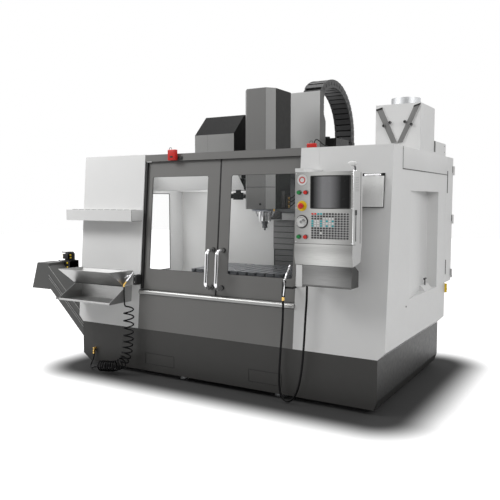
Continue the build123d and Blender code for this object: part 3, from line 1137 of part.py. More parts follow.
LEFT_DOOR_X = (LEFT_DOOR_EDGE, DOOR_SPLIT_X - DOOR_GAP / 2)
RIGHT_DOOR_X = (DOOR_SPLIT_X + DOOR_GAP / 2, RIGHT_DOOR_EDGE)


# Pendant
def make_pendant_arm():
    """Arm from the right front panel, with the pin the pendant swings on."""
    low, high = PENDANT_Z[1] + SLIDE_GAP, PENDANT_Z[1] + 27
    arm = side_prism([(-195, low), (front_y(low), low), (front_y(high), high), (-195, high)],
                     (SWIVEL_X - 32, SWIVEL_X + 32))
    return arm + rod((SWIVEL_X, SWIVEL_Y, PENDANT_Z[1] - 20), (SWIVEL_X, SWIVEL_Y, low), SWIVEL_PIN)


def make_pendant_housing():
    """Pendant case: flat control face above, curved face below, open at the back."""
    front, back = PENDANT_Y
    with BuildPart() as case:
        with BuildSketch(Plane(origin=(PENDANT_X[0], 0, 0), x_dir=(0, 1, 0), z_dir=(1, 0, 0))):
            with BuildLine():
                belly = ThreePointArc((front, PENDANT_Z[0]), (front - 7, PENDANT_Z[0] - 80),
                                      (front + 12, PENDANT_FOOT))
                Polyline(belly @ 1, (back - 20, PENDANT_FOOT + 24), (back, PENDANT_Z[0]),
                         (back, PENDANT_Z[1]), (front, PENDANT_Z[1]), belly @ 0)
            make_face()
        extrude(amount=PENDANT_X[1] - PENDANT_X[0])
    body = case.part
    w = PENDANT_WALL
    body -= block((PENDANT_X[0] + w, PENDANT_X[1] - w), (front + w, back + 1),
                  (PENDANT_Z[0] + 4, PENDANT_Z[1] - w))
    body -= block((PENDANT_X[0] + w, PENDANT_X[1] - w), (front + w + 16, back - 30),
                  (PENDANT_FOOT + 40, PENDANT_Z[0] + 5))
    body -= block((PENDANT_X[0] - 1, PENDANT_X[1] + 1), (front - 2, front + 1.5),
                  (PENDANT_Z[0] - 1.5, PENDANT_Z[0] + 1.5))
    body -= rod((SWIVEL_X, SWIVEL_Y, PENDANT_Z[1] - 21), (SWIVEL_X, SWIVEL_Y, PENDANT_Z[1] + 1),
                SWIVEL_PIN + 2 * RUN_FIT)
    body -= block((PENDANT_X[1] - 1, PENDANT_X[1] + 1), (-185, -178), (1225, 1432))
    stem = BUTTON_STEM + 2 * RUN_FIT
    for x, z in ((GREEN_X, POWER_Z), (RED_X, POWER_Z), (GREEN_X, CYCLE_Z), (RED_X, CYCLE_Z),
                 (STOP_X, STOP_Z), (WHEEL_X, WHEEL_Z)):
        body -= rod((x, front - 1, z), (x, front + w + 1, z), stem)
    return body


def make_pendant_screen():
    return block(SCREEN_X, (PENDANT_Y[0] - 3, PENDANT_Y[0]), SCREEN_Z)


def make_pendant_keys():
    """Key field: backing plate and the raised keys."""
    front = PENDANT_Y[0]
    plate = block(KEYS_X, (front - 1.5, front), KEYS_Z)
    step_x = (KEYS_X[1] - KEYS_X[0]) / KEY_COLUMNS
    step_z = (KEYS_Z[1] - KEYS_Z[0]) / KEY_ROWS
    keys = []
    for row in range(KEY_ROWS):
        for column in range(KEY_COLUMNS):
            x = KEYS_X[0] + step_x * (column + 0.5)
            z = KEYS_Z[0] + step_z * (row + 0.5)
            keys.append(block((x - 6.5, x + 6.5), (front - 4, front - 1.5), (z - 5.5, z + 5.5)))
    return plate.fuse(*keys)


def make_button(x, z):
    front = PENDANT_Y[0]
    cap = rod((x, front - 17, z), (x, front - BUTTON_TRAVEL - 2, z), BUTTON_CAP)
    return cap + rod((x, front - BUTTON_TRAVEL - 2, z), (x, front + 24, z), BUTTON_STEM)


def make_emergency_stop():
    front = PENDANT_Y[0]
    stop = rod((STOP_X, front - 34, STOP_Z), (STOP_X, front - 20, STOP_Z), 42)
    stop += rod((STOP_X, front - 20, STOP_Z), (STOP_X, front - 8, STOP_Z), 26)
    return stop + rod((STOP_X, front - 8, STOP_Z), (STOP_X, front + 26, STOP_Z), BUTTON_STEM)


def make_jog_handwheel():
    front = PENDANT_Y[0]
    wheel = rod((WHEEL_X, front - 20, WHEEL_Z), (WHEEL_X, front - 3, WHEEL_Z), WHEEL_DIAMETER)
    wheel -= (rod((WHEEL_X, front - 21, WHEEL_Z), (WHEEL_X, front - 15, WHEEL_Z), WHEEL_DIAMETER - 14)
              - rod((WHEEL_X, front - 21, WHEEL_Z), (WHEEL_X, front - 15, WHEEL_Z), 26))
    wheel += rod((WHEEL_X + 20, front - 36, WHEEL_Z + 12), (WHEEL_X + 20, front - 15, WHEEL_Z + 12), 16)
    return wheel + rod((WHEEL_X, front - 3, WHEEL_Z), (WHEEL_X, front + 26, WHEEL_Z), BUTTON_STEM)


def make_pendant_bin():
    """Open bin under the pendant with a slotted floor and the bracket that carries it."""
    x, y, z = (915.0, 1278.0), (-188.0, -60.0), (905.0, PENDANT_FOOT)
    t = 2.0
    case = block(x, (y[0], y[0] + t), z) + block(x, (y[1] - t, y[1]), (z[0], z[1] - 40))
    for edge in (x[0], x[1] - t):
        case += side_prism([(y[0], z[0]), (y[0], z[1]), (y[0] + 60, z[1]), (y[1], z[1] - 40), (y[1], z[0])],
                           (edge, edge + t))
    case += block((PENDANT_X[0] + 5, x[0] + t), (y[0] - 2, y[0] + 44), (z[0] - 11, z[1]))
    floor = block(x, y, (z[0], z[0] + t))
    for i in range(11):
        c = x[0] + 24 + 31.5 * i
        floor -= block((c - 11, c + 11), (y[0] + 12, y[1] - 12), (z[0] - 1, z[0] + t + 1))
    return case + floor


def make_beacon_lamp():
    """Lamp on a bent neck at the pendant's top corner."""
    x, y, z = 1272.0, -110.0, PENDANT_Z[1]
    neck = rod((x, y, z), (x, y, z + 30), 14) + rod((x, y, z + 27), (x - 4, y - 40, z + 44), 12)
    cup = block((x - 32, x + 26), (y - 66, y - 20), (z + 38, z + 66))
    return neck + cup + rod((x, y, z), (x, y, z + 6), 34)


def make_clipboard():
    """Document holder on the right front panel with a clip bar at its top."""
    x, z = (1228.0, 1395.0), (1452.0, 1689.0)
    holder = leaning(x, z, (-4, 0)) + leaning(x, (z[0], z[0] + 4), (-28, -4))
    holder += leaning(x, (z[0], z[1] - 24), (-30, -28))
    for edge in (x[0], x[1] - 3):
        holder += leaning((edge, edge + 3), (z[0], z[1] - 24), (-28, -4))
    holder += leaning((x[0] + 18, x[1] - 14), (z[1] - 20, z[1] - 6), (-16, -4))
    return holder


# Hoses and guns
def hose(points, diameter, name):
    """Straight runs joined by tangent arcs as large as the runs allow."""
    runs = [(Vector(*b) - Vector(*a)) for a, b in zip(points, points[1:])]
    radii = []
    for before, after in zip(runs, runs[1:]):
        turn = math.radians(before.get_angle(after))
        radii.append(0.45 * min(before.length, after.length) / math.tan(turn / 2))
    route = FilletPolyline(*points, radius=radii)
    section = Plane(origin=route @ 0, z_dir=route % 0) * Circle(diameter / 2)
    tube = sweep(section, path=route)
    expected = math.pi * diameter ** 2 / 4 * route.length
    print(name, "length", round(route.length), "radii", [round(r) for r in radii],
          "volume share", round(tube.volume / expected, 4))
    return tube


def make_air_hose_coil():
    x, y, z = AIR_COIL_TOP
    points = [(x, y, z), (x, y, 500), (x + 2, y - 6, 390), (x - 2, y - 14, 285), (x - 8, y - 26, 190),
              (x - 32, y - 44, 112), (x - 92, y - 62, 66), (x - 185, y - 70, 62), AIR_COIL_END]
    return hose(points, AIR_COIL_DIAMETER, "air hose coil")


def make_air_hose_tails():
    """Plain ends of the coiled hose: up to the gun, and along the floor to the fitting."""
    x, y, z = AIR_COIL_TOP
    gun_x, gun_y, gun_z = AIR_GUN_EXIT
    upper = hose([AIR_GUN_EXIT, (gun_x, gun_y, gun_z - 45), (gun_x + 8, gun_y - 6, gun_z - 92),
                  (x - 10, y + 2, z + 36), AIR_COIL_TOP], AIR_HOSE_DIAMETER, "air hose top")
    x, y, z = AIR_COIL_END
    end_x, end_y, end_z = AIR_FITTING
    lower = hose([AIR_COIL_END, (x - 44, y + 3, z - 12), (x - 92, y + 16, z - 38), (x - 140, y + 44, z - 44),
                  (x - 168, y + 84, z - 24), (end_x, end_y, end_z - 42), AIR_FITTING],
                 AIR_HOSE_DIAMETER, "air hose foot")
    return group([upper, lower])


def make_air_gun():
    """Air gun in its holder on the left front panel."""
    x, y, z = AIR_GUN_EXIT
    gun = rod((x + 84, y, z + 104), (x + 30, y, z + 46), 26) + rod((x + 110, y, z + 134), (x + 84, y, z + 104), 12)
    gun += rod((x + 30, y, z + 46), (x, y, z + 14), 18) + rod((x, y, z), (x, y, z + 16), 14)
    gun += rod((x + 66, y, z + 88), (x + 28, y, z + 82), 12)
    holder = leaning((-770, -728), (790, 860), (-92, 0))
    return gun + holder


def make_wash_hose():
    x, y, z = WASH_GUN_FOOT
    end_x, end_y, end_z = WASH_FITTING
    points = [(x, y, z), (x, y, 660), (x - 7, y - 3, 520), (x - 18, y - 6, 370),
              (x - 25, y - 9, 240), (x - 24, y - 13, 130), (x - 8, y - 18, 52), (x + 38, y - 26, 14),
              (x + 92, y - 27, 34), (x + 134, y - 24, 104), (x + 163, y - 18, 220),
              (x + 177, y - 10, 360), (x + 184, y + 1, 510), (x + 195, y + 10, 660),
              (end_x, end_y, end_z - 104), WASH_FITTING]
    return hose(points, WASH_HOSE_DIAMETER, "wash hose")


def make_wash_gun():
    """Wash-down gun in its holder at the doorway's right edge."""
    x, y, z = WASH_GUN_FOOT
    gun = rod((x, y, z), (x, y, z + 26), 22) + rod((x, y, z + 24), (x + 4, y + 8, 915), 30)
    gun += rod((x + 4, y + 8, 900), (x + 40, y + 34, 1024), 14)
    gun += rod((x + 14, y - 16, 800), (x + 18, y - 6, 905), 12)
    gun += block((x - 2, x + 22), (y - 16, y + 8), (890, 905))
    clip, edge = (842, 872), DOORWAY_X[1] + 12
    holder = leaning((x - 12, edge), clip, (-70, -64)) + leaning((edge - 6, edge), clip, (-64, 0))
    return gun + holder


PARTS = {
    "levelling_pads": make_levelling_pads,
    "base_casting": make_base_casting,
    "base_skirt": make_base_skirt,
    "door_frame": make_door_frame,
    "left_front_panel": make_left_front_panel,
    "left_side_panel": make_left_side_panel,
    "left_side_window": make_left_side_window,
    "right_front_panel": make_right_front_panel,
    "right_side_panel": make_right_side_panel,
    "side_access_panel": make_side_access_panel,
    "access_latch": make_access_latch,
    "enclosure_liner": make_enclosure_liner,
    "interlock_switches": make_interlock_switches,
    "electrical_cabinet": make_electrical_cabinet,
    "electrical_cabinet_door": make_electrical_cabinet_door,
    "disconnect_handle": make_disconnect_handle,
    "mist_extractor": make_mist_extractor,
    "tool_shelf": make_tool_shelf,
    "parts_tray": make_parts_tray,
    "auger_trough": make_auger_trough,
    "auger_screw": make_auger_screw,
    "column_casting": make_column_casting,
    "bed_rails": make_bed_rails,
    "column_rails": make_column_rails,
    "column_shutter": make_column_shutter,
    "saddle": make_saddle,
    "work_table": make_work_table,
    "head_casting": make_head_casting,
    "head_cover": make_head_cover,
    "column_cover_plate": make_column_cover_plate,
    "spindle": make_spindle,
    "tool_holder": make_tool_holder,
    "cable_carrier": make_cable_carrier,
    "tool_changer_housing": make_tool_changer_housing,
    "tool_carousel": make_tool_carousel,
    "tool_arm": make_tool_arm,
    "left_door": lambda: make_door(LEFT_DOOR_X, LEFT_WINDOW_X),
    "left_door_window": lambda: make_door_window(LEFT_WINDOW_X),
    "left_door_handle": lambda: make_door_handle(LEFT_HANDLE_X),
    "right_door": lambda: make_door(RIGHT_DOOR_X, RIGHT_WINDOW_X),
    "right_door_window": lambda: make_door_window(RIGHT_WINDOW_X),
    "right_door_handle": lambda: make_door_handle(RIGHT_HANDLE_X),
    "pendant_arm": make_pendant_arm,
    "pendant_housing": make_pendant_housing,
    "pendant_screen": make_pendant_screen,
    "pendant_keys": make_pendant_keys,
    "power_on_button": lambda: make_button(GREEN_X, POWER_Z),
    "power_off_button": lambda: make_button(RED_X, POWER_Z),
    "cycle_start_button": lambda: make_button(GREEN_X, CYCLE_Z),
    "feed_hold_button": lambda: make_button(RED_X, CYCLE_Z),
    "emergency_stop": make_emergency_stop,
    "jog_handwheel": make_jog_handwheel,
    "pendant_bin": make_pendant_bin,
    "beacon_lamp": make_beacon_lamp,
    "clipboard": make_clipboard,
    "air_hose_coil": make_air_hose_coil,
    "air_hose_tails": make_air_hose_tails,
    "air_gun": make_air_gun,
    "wash_hose": make_wash_hose,
    "wash_gun": make_wash_gun,
}

# the whole object's box is centred on the origin and stands on z = 0
CENTRE_X = (AUGER_REACH - HINGE_X - HINGE_KNUCKLE / 2) / 2
CENTRE_Y = (TRAY_REACH - CARRIER_BACK) / 2


def main():
    os.makedirs("parts", exist_ok=True)
    for name, make in PARTS.items():
        solids = [Pos(CENTRE_X, CENTRE_Y, 0) * solid for solid in make().solids()]
        shape = solids[0] if len(solids) == 1 else Compound(children=solids)
        export_step(shape, f"parts/{name}.step")


if __name__ == "__main__":
    main()
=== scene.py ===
"""Finishes, small parts, hoses, light and camera for the vertical machining centre.

Drawing sizes are millimetres in the machine's own axes: x from the enclosure's centre
plane (plus is the operator's right), y back from the foot of the front, z up from the
floor. MachineAxes turns them into the frame's metres.
"""

import json
import logging
import math
from dataclasses import dataclass
from enum import Enum
from typing import Iterable, Sequence

import bpy
from mathutils import Matrix, Vector

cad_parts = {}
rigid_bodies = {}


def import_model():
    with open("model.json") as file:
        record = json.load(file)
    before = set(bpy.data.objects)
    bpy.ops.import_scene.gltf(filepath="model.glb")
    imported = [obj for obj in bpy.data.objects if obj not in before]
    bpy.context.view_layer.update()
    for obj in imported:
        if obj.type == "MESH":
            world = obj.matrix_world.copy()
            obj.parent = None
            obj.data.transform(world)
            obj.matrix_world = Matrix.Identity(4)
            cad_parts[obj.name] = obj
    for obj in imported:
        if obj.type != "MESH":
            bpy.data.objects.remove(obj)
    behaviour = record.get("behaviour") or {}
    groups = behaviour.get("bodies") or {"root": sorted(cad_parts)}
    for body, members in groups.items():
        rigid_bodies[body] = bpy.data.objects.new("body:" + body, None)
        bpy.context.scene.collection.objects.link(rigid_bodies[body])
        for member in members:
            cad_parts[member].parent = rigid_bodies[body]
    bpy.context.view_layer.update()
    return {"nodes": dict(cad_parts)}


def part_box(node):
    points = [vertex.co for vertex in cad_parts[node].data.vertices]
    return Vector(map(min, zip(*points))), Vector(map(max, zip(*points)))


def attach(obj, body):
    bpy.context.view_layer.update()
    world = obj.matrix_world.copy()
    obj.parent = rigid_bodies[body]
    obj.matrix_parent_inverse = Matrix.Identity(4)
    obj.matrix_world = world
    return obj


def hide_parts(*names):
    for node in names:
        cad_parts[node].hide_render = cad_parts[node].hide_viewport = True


log = logging.getLogger("machining_centre")

Point = tuple[float, float, float]
Span = tuple[float, float]
Profile = tuple[Span, ...]
Object = bpy.types.Object
Socket = bpy.types.NodeSocket

MM = 0.001
LEFT: Point = (-1, 0, 0)
RIGHT: Point = (1, 0, 0)
FRONT: Point = (0, -1, 0)
BACK: Point = (0, 1, 0)
UP: Point = (0, 0, 1)
DOWN: Point = (0, 0, -1)
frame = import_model()


@dataclass(frozen=True)
class MachineAxes:
    """Place of the machine's own axes in the frame, read from the base skirt."""

    centre_x: float
    front_y: float
    lean: float = 0.0846
    lean_from: float = 397.0

    def at(self, x: float, y: float, z: float) -> Vector:
        """Gives the frame point, in metres, of a drawing point in millimetres."""
        return Vector((self.centre_x + x * MM, self.front_y + y * MM, z * MM))

    def face(self, z: float) -> float:
        """Gives the depth of the leaning front face at a height, in millimetres."""
        return self.lean * (z - self.lean_from)


SKIRT_DEPTH = 1626.0
SKIRT_LOW, SKIRT_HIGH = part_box("base_skirt")
AXES = MachineAxes((SKIRT_LOW.x + SKIRT_HIGH.x) / 2, SKIRT_HIGH.y - SKIRT_DEPTH * MM)


class Body(Enum):
    """Rigid bodies of the machine that pieces ride on."""

    FRAME = "machine_frame"
    LEFT_DOOR = "left_door"
    RIGHT_DOOR = "right_door"
    TABLE = "work_table"
    HEAD = "head"
    CARRIER = "cable_carrier"
    CAROUSEL = "tool_carousel"
    PENDANT = "pendant"
    STOP = "emergency_stop"
    WHEEL = "jog_handwheel"
    SWITCH = "disconnect_handle"
    CABINET_DOOR = "electrical_cabinet_door"


# Finishes

GLOSS_SCALE = 30
PEEL_SCALE = 700
PEEL_DEPTH = 0.0006
GRAIN_DEPTH = 0.0004
LINE_SCALE = 900
LINE_STRETCH = 0.012
NOISE_MIDDLE: Span = (0.3, 0.7)


class Nodes:
    """Short way to build a node tree."""

    def __init__(self, tree: bpy.types.NodeTree) -> None:
        """Keeps the tree.

        Args:
            tree: the node tree to build in.
        """
        self.tree = tree

    def add(self, kind: str, **values: object) -> bpy.types.Node:
        """Adds a node and sets its properties or inputs.

        Args:
            kind: the node's class name without its ShaderNode prefix.
            values: properties by name, and inputs by name with underscores for spaces.

        Returns:
            The new node.
        """
        node = self.tree.nodes.new("ShaderNode" + kind)
        for key, value in values.items():
            if hasattr(node, key):
                setattr(node, key, value)
            else:
                node.inputs[key.replace("_", " ")].default_value = value
        return node

    def join(self, source: Socket, target: Socket) -> None:
        """Links an output to an input."""
        self.tree.links.new(source, target)

    def axis(self, vector: Socket, name: str) -> Socket:
        """Gives one axis of a vector.

        Args:
            vector: the vector.
            name: X, Y or Z.

        Returns:
            Its value.
        """
        split = self.add("SeparateXYZ")
        self.join(vector, split.inputs["Vector"])
        return split.outputs[name]

    def math(self, operation: str, first: Socket | float, second: Socket | float = 0.0) -> Socket:
        """Works out a value from one or two others.

        Args:
            operation: the Math node's operation.
            first: a socket or a number.
            second: a socket or a number.

        Returns:
            The value.
        """
        node = self.add("Math", operation=operation)
        for entry, value in zip(node.inputs, (first, second)):
            if isinstance(value, (int, float)):
                entry.default_value = value
            else:
                self.join(value, entry)
        return node.outputs["Value"]

    def ranged(self, value: Socket, start: Span, end: Span = (0.0, 1.0), kind: str = "LINEAR") -> Socket:
        """Maps a value from one range onto another.

        Args:
            value: the value.
            start: the range that it comes from.
            end: the range that it goes to.
            kind: the interpolation.

        Returns:
            The mapped value.
        """
        node = self.add("MapRange", interpolation_type=kind)
        for name, number in zip(("From Min", "From Max", "To Min", "To Max"), (*start, *end)):
            node.inputs[name].default_value = number
        self.join(value, node.inputs["Value"])
        return node.outputs["Result"]


class Coat(Nodes):
    """Short way to build a material on Object coordinates."""

    def __init__(self, name: str) -> None:
        """Starts a material with a Principled shader.

        Args:
            name: the material's name.
        """
        self.material = bpy.data.materials.new(name)
        self.material.use_nodes = True
        super().__init__(self.material.node_tree)
        self.shader = self.tree.nodes["Principled BSDF"]

    def set(self, **values: object) -> None:
        """Sets or links inputs of the shader by name, with underscores for spaces.

        Args:
            values: a number, colour or socket for each input.
        """
        for key, value in values.items():
            entry = self.shader.inputs[key.replace("_", " ")]
            if isinstance(value, Socket):
                self.join(value, entry)
            else:
                entry.default_value = value

    def space(self, scale: Point = (1, 1, 1)) -> Socket:
        """Gives object coordinates stretched by a scale.

        Args:
            scale: the scale on each axis.

        Returns:
            The coordinates.
        """
        mapping = self.add("Mapping", Scale=scale)
        self.join(self.add("TexCoord").outputs["Object"], mapping.inputs["Vector"])
        return mapping.outputs["Vector"]

    def noise(self, scale: float, detail: float = 3, stretch: Point = (1, 1, 1)) -> Socket:
        """Gives a noise value.

        Args:
            scale: how fine it is.
            detail: octaves.
            stretch: scale of the object coordinates on each axis.

        Returns:
            The value.
        """
        noise = self.add("TexNoise", Scale=scale, Detail=detail)
        self.join(self.space(stretch), noise.inputs["Vector"])
        return noise.outputs["Fac"]

    def spread(self, value: Socket, low: float, high: float) -> Socket:
        """Maps the middle of a noise value onto a range."""
        return self.ranged(value, NOISE_MIDDLE, (low, high))

    def _mix(self, share: Socket) -> tuple[list[Socket], Socket]:
        """Adds a colour mix and gives its two inputs and its output.

        Args:
            share: how much of the second colour it takes.

        Returns:
            The two colour inputs, and the output.
        """
        mix = self.add("Mix", data_type="RGBA")
        self.join(share, mix.inputs[0])
        colours = [entry for entry in mix.inputs if entry.type == "RGBA"]
        return colours, next(result for result in mix.outputs if result.type == "RGBA")

    def tint(self, value: Socket, low: Sequence[float], high: Sequence[float]) -> Socket:
        """Mixes two colours by a value.

        Args:
            value: the share of the second.
            low: the first colour.
            high: the second colour.

        Returns:
            The colour.
        """
        ends, result = self._mix(value)
        for end, colour in zip(ends, (low, high)):
            end.default_value = (*colour, 1)
        return result

    def shade(self, value: Socket, colour: Point, low: float, high: float) -> Socket:
        """Varies a colour between two shares of itself by a value."""
        return self.tint(value, [c * low for c in colour], [c * high for c in colour])

    def pick(self, mask: Socket, off: Socket, on: Socket) -> Socket:
        """Chooses between two colours by a mask.

        Args:
            mask: the mask.
            off: the colour where it is 0.
            on: the colour where it is 1.

        Returns:
            The colour.
        """
        ends, result = self._mix(mask)
        self.join(off, ends[0])
        self.join(on, ends[1])
        return result

    def bump(self, height: Socket, strength: float, distance: float) -> None:
        """Gives the surface relief from a height.

        Args:
            height: the height.
            strength: how strongly it shows.
            distance: its depth in metres.
        """
        bump = self.add("Bump", Strength=strength, Distance=distance)
        self.join(height, bump.inputs["Height"])
        self.set(Normal=bump.outputs["Normal"])

    def above(self, axis: str, limit: float, source: str = "Object") -> Socket:
        """Gives 1 where a coordinate or normal is over a limit.

        Args:
            axis: X, Y or Z.
            limit: the limit in metres, or as a share for a normal.
            source: Object or Normal.

        Returns:
            The mask.
        """
        return self.math("GREATER_THAN", self.axis(self.add("TexCoord").outputs[source], axis), limit)

    def opposite(self, mask: Socket) -> Socket:
        """Gives 1 where a mask is 0."""
        return self.math("SUBTRACT", 1, mask)

    def enamel(self, shade: Socket, gloss: Span, peel: float, shine: float) -> None:
        """Finishes sprayed enamel.

        Args:
            shade: its colour.
            gloss: its roughness, from and to.
            peel: strength of its orange peel.
            shine: its specular level.
        """
        self.set(Base_Color=shade, Roughness=self.spread(self.noise(GLOSS_SCALE), *gloss),
                 Specular_IOR_Level=shine)
        self.bump(self.noise(PEEL_SCALE, 2), peel, PEEL_DEPTH)


@dataclass(frozen=True)
class Finish:
    """A finish by name: its kinds say how the coat is laid."""

    name: str

    def build(self) -> bpy.types.Material:
        """Makes the material.

        Returns:
            The material.
        """
        coat = Coat(self.name)
        self.lay(coat)
        return coat.material

    def lay(self, coat: Coat) -> None:
        """Lays the finish on its coat."""
        raise NotImplementedError


@dataclass(frozen=True)
class Paint(Finish):
    """Sprayed enamel: slight shade drift, orange peel and uneven gloss."""

    colour: Point
    gloss: Span = (0.34, 0.44)
    peel: float = 0.05
    drift: float = 0.04
    shine: float = 0.3

    def lay(self, coat: Coat) -> None:
        """Lays the finish.

        Args:
            coat: the coat to lay it on.
        """
        shade = coat.shade(coat.noise(2.5), self.colour, 1 - self.drift, 1 + self.drift)
        coat.enamel(shade, self.gloss, self.peel, self.shine)


@dataclass(frozen=True)
class Brushed(Finish):
    """Ground or brushed metal with fine lines along one axis."""

    colour: Point
    along: str = "X"
    rough: Span = (0.28, 0.42)
    relief: float = 0.12

    def lay(self, coat: Coat) -> None:
        """Lays the finish.

        Args:
            coat: the coat to lay it on.
        """
        stretch = tuple(LINE_STRETCH if axis == self.along else 1.0 for axis in "XYZ")
        grain = coat.noise(LINE_SCALE, 4, stretch)
        coat.set(Base_Color=coat.shade(coat.spread(grain, 0, 1), self.colour, 0.86, 1.1),
                 Roughness=coat.spread(coat.noise(6), *self.rough), Metallic=1.0)
        coat.bump(grain, self.relief, GRAIN_DEPTH)


@dataclass(frozen=True)
class Polished(Finish):
    """Bright plated or turned metal with faint smudges."""

    colour: Point
    rough: Span = (0.05, 0.14)

    def lay(self, coat: Coat) -> None:
        """Lays the finish.

        Args:
            coat: the coat to lay it on.
        """
        coat.set(Roughness=coat.spread(coat.noise(45), *self.rough), Metallic=1.0,
                 Base_Color=coat.shade(coat.noise(12), self.colour, 1, 1.04))


@dataclass(frozen=True)
class Moulded(Finish):
    """Moulded plastic or rubber with a fine grain."""

    colour: Point
    rough: Span = (0.4, 0.55)
    grain: float = 0.15
    grain_scale: float = 1200.0
    shine: float = 0.3

    def lay(self, coat: Coat) -> None:
        """Lays the finish.

        Args:
            coat: the coat to lay it on.
        """
        coat.set(Base_Color=coat.shade(coat.noise(9), self.colour, 0.9, 1.12),
                 Roughness=coat.spread(coat.noise(60), *self.rough), Specular_IOR_Level=self.shine)
        coat.bump(coat.noise(self.grain_scale, 2), self.grain, GRAIN_DEPTH)


@dataclass(frozen=True)
class SideShadedPaint(Finish):
    """Enamel in one shade in front, with painted shade on the right side and painted light on its chamfer."""

    front: Point
    side: Point
    chamfer: Point
    gloss: Span = (0.34, 0.44)
    shine: float = 0.12

    def lay(self, coat: Coat) -> None:
        """Lays the finish.

        Args:
            coat: the coat to lay it on.
        """
        cloud = coat.noise(2.5)
        front, side, chamfer = [coat.shade(cloud, colour, 0.95, 1.05)
                                for colour in (self.front, self.side, self.chamfer)]
        # painted light and shade: the chamfer and the right side take their own shades by which way they face
        shade = coat.pick(coat.above("X", 0.3, "Normal"), front, chamfer)
        shade = coat.pick(coat.above("X", 0.9, "Normal"), shade, side)
        coat.enamel(shade, self.gloss, 0.05, self.shine)


@dataclass(frozen=True)
class BandedPaint(Finish):
    """Enamel that changes tone past a limit along one axis, with painted shade on right-facing faces where
    one is given.
    """

    near: Point
    far: Point
    limit: float
    axis: str = "Z"
    gloss: Span = (0.36, 0.48)
    right_side_shade: Point | None = None

    def lay(self, coat: Coat) -> None:
        """Lays the finish.

        Args:
            coat: the coat to lay it on.
        """
        cloud = coat.noise(3)
        near, far = [coat.shade(cloud, colour, 0.95, 1.05) for colour in (self.near, self.far)]
        shade = coat.pick(coat.above(self.axis, self.limit), near, far)
        # painted shade on the right-facing faces
        if self.right_side_shade:
            right_side_shade = coat.shade(cloud, self.right_side_shade, 1, 1)
            shade = coat.pick(coat.above("X", 0.7, "Normal"), shade, right_side_shade)
        coat.enamel(shade, self.gloss, 0.06, 0.25)


@dataclass(frozen=True)
class ClearSheet(Finish):
    """Clear window sheet, a little hazy."""

    colour: Point = (0.78, 0.83, 0.83)
    cover: float = 0.015

    def lay(self, coat: Coat) -> None:
        """Lays the finish.

        Args:
            coat: the coat to lay it on.
        """
        coat.set(Base_Color=(*self.colour, 1), Alpha=self.cover,
                 Roughness=coat.spread(coat.noise(14), 0.04, 0.1))


@dataclass(frozen=True)
class DarkScreen(Finish):
    """Switched-off display behind a satin cover, with a painted reflection that makes it brighter left of its
    middle.
    """

    reflection_stops: Profile = ((0.0, 0.004), (0.06, 0.01), (0.3, 0.26), (0.5, 0.24), (0.78, 0.02), (1.0, 0.003))
    left: float = AXES.at(981, 0, 0).x
    width: float = 0.284

    def lay(self, coat: Coat) -> None:
        """Lays the finish.

        Args:
            coat: the coat to lay it on.
        """
        # painted reflection across the screen's width
        across = coat.ranged(coat.axis(coat.space(), "X"), (self.left, self.left + self.width))
        ramp = coat.add("ValToRGB")
        reflection_stops = ramp.color_ramp.elements
        while len(reflection_stops) < len(self.reflection_stops):
            reflection_stops.new(0.5)
        for stop, (place, shade) in zip(reflection_stops, self.reflection_stops):
            stop.position = place
            stop.color = (shade, shade, shade * 1.03, 1)
        coat.join(across, ramp.inputs["Fac"])
        coat.set(Base_Color=ramp.outputs["Color"], Specular_IOR_Level=0.12,
                 Roughness=coat.spread(coat.noise(25), 0.2, 0.3))


@dataclass(frozen=True)
class DoorwayPaint(Finish):
    """Grey doorway frame with a bright metal ledge between two heights."""

    grey: Point
    bright: Point
    ledge: Span

    def lay(self, coat: Coat) -> None:
        """Lays the finish.

        Args:
            coat: the coat to lay it on.
        """
        cloud = coat.noise(2.5)
        grey, bright = [coat.shade(cloud, colour, 0.96, 1.04) for colour in (self.grey, self.bright)]
        foot, top = [coat.above("Z", limit) for limit in self.ledge]
        mask = coat.math("MULTIPLY", foot, coat.opposite(top))
        coat.set(Metallic=mask)
        coat.enamel(coat.pick(mask, grey, bright), (0.3, 0.4), 0.05, 0.25)


@dataclass(frozen=True)
class ChangerShadedPaint(Finish):
    """Changer cover: pale front, with painted shade that darkens its top slope and blackens its right side.
    """

    pale: Point
    dark: Point
    black: Point

    def lay(self, coat: Coat) -> None:
        """Lays the finish.

        Args:
            coat: the coat to lay it on.
        """
        cloud = coat.noise(3)
        dark, black = [coat.shade(cloud, colour, 0.9, 1.1) for colour in (self.dark, self.black)]
        pale = coat.shade(cloud, self.pale, 0.95, 1.05)
        # painted shade: the top slope and the right side darken by which way they face
        shade = coat.pick(coat.above("Z", 0.3, "Normal"), pale, dark)
        shade = coat.pick(coat.above("X", 0.7, "Normal"), shade, black)
        coat.enamel(shade, (0.36, 0.46), 0.05, 0.08)


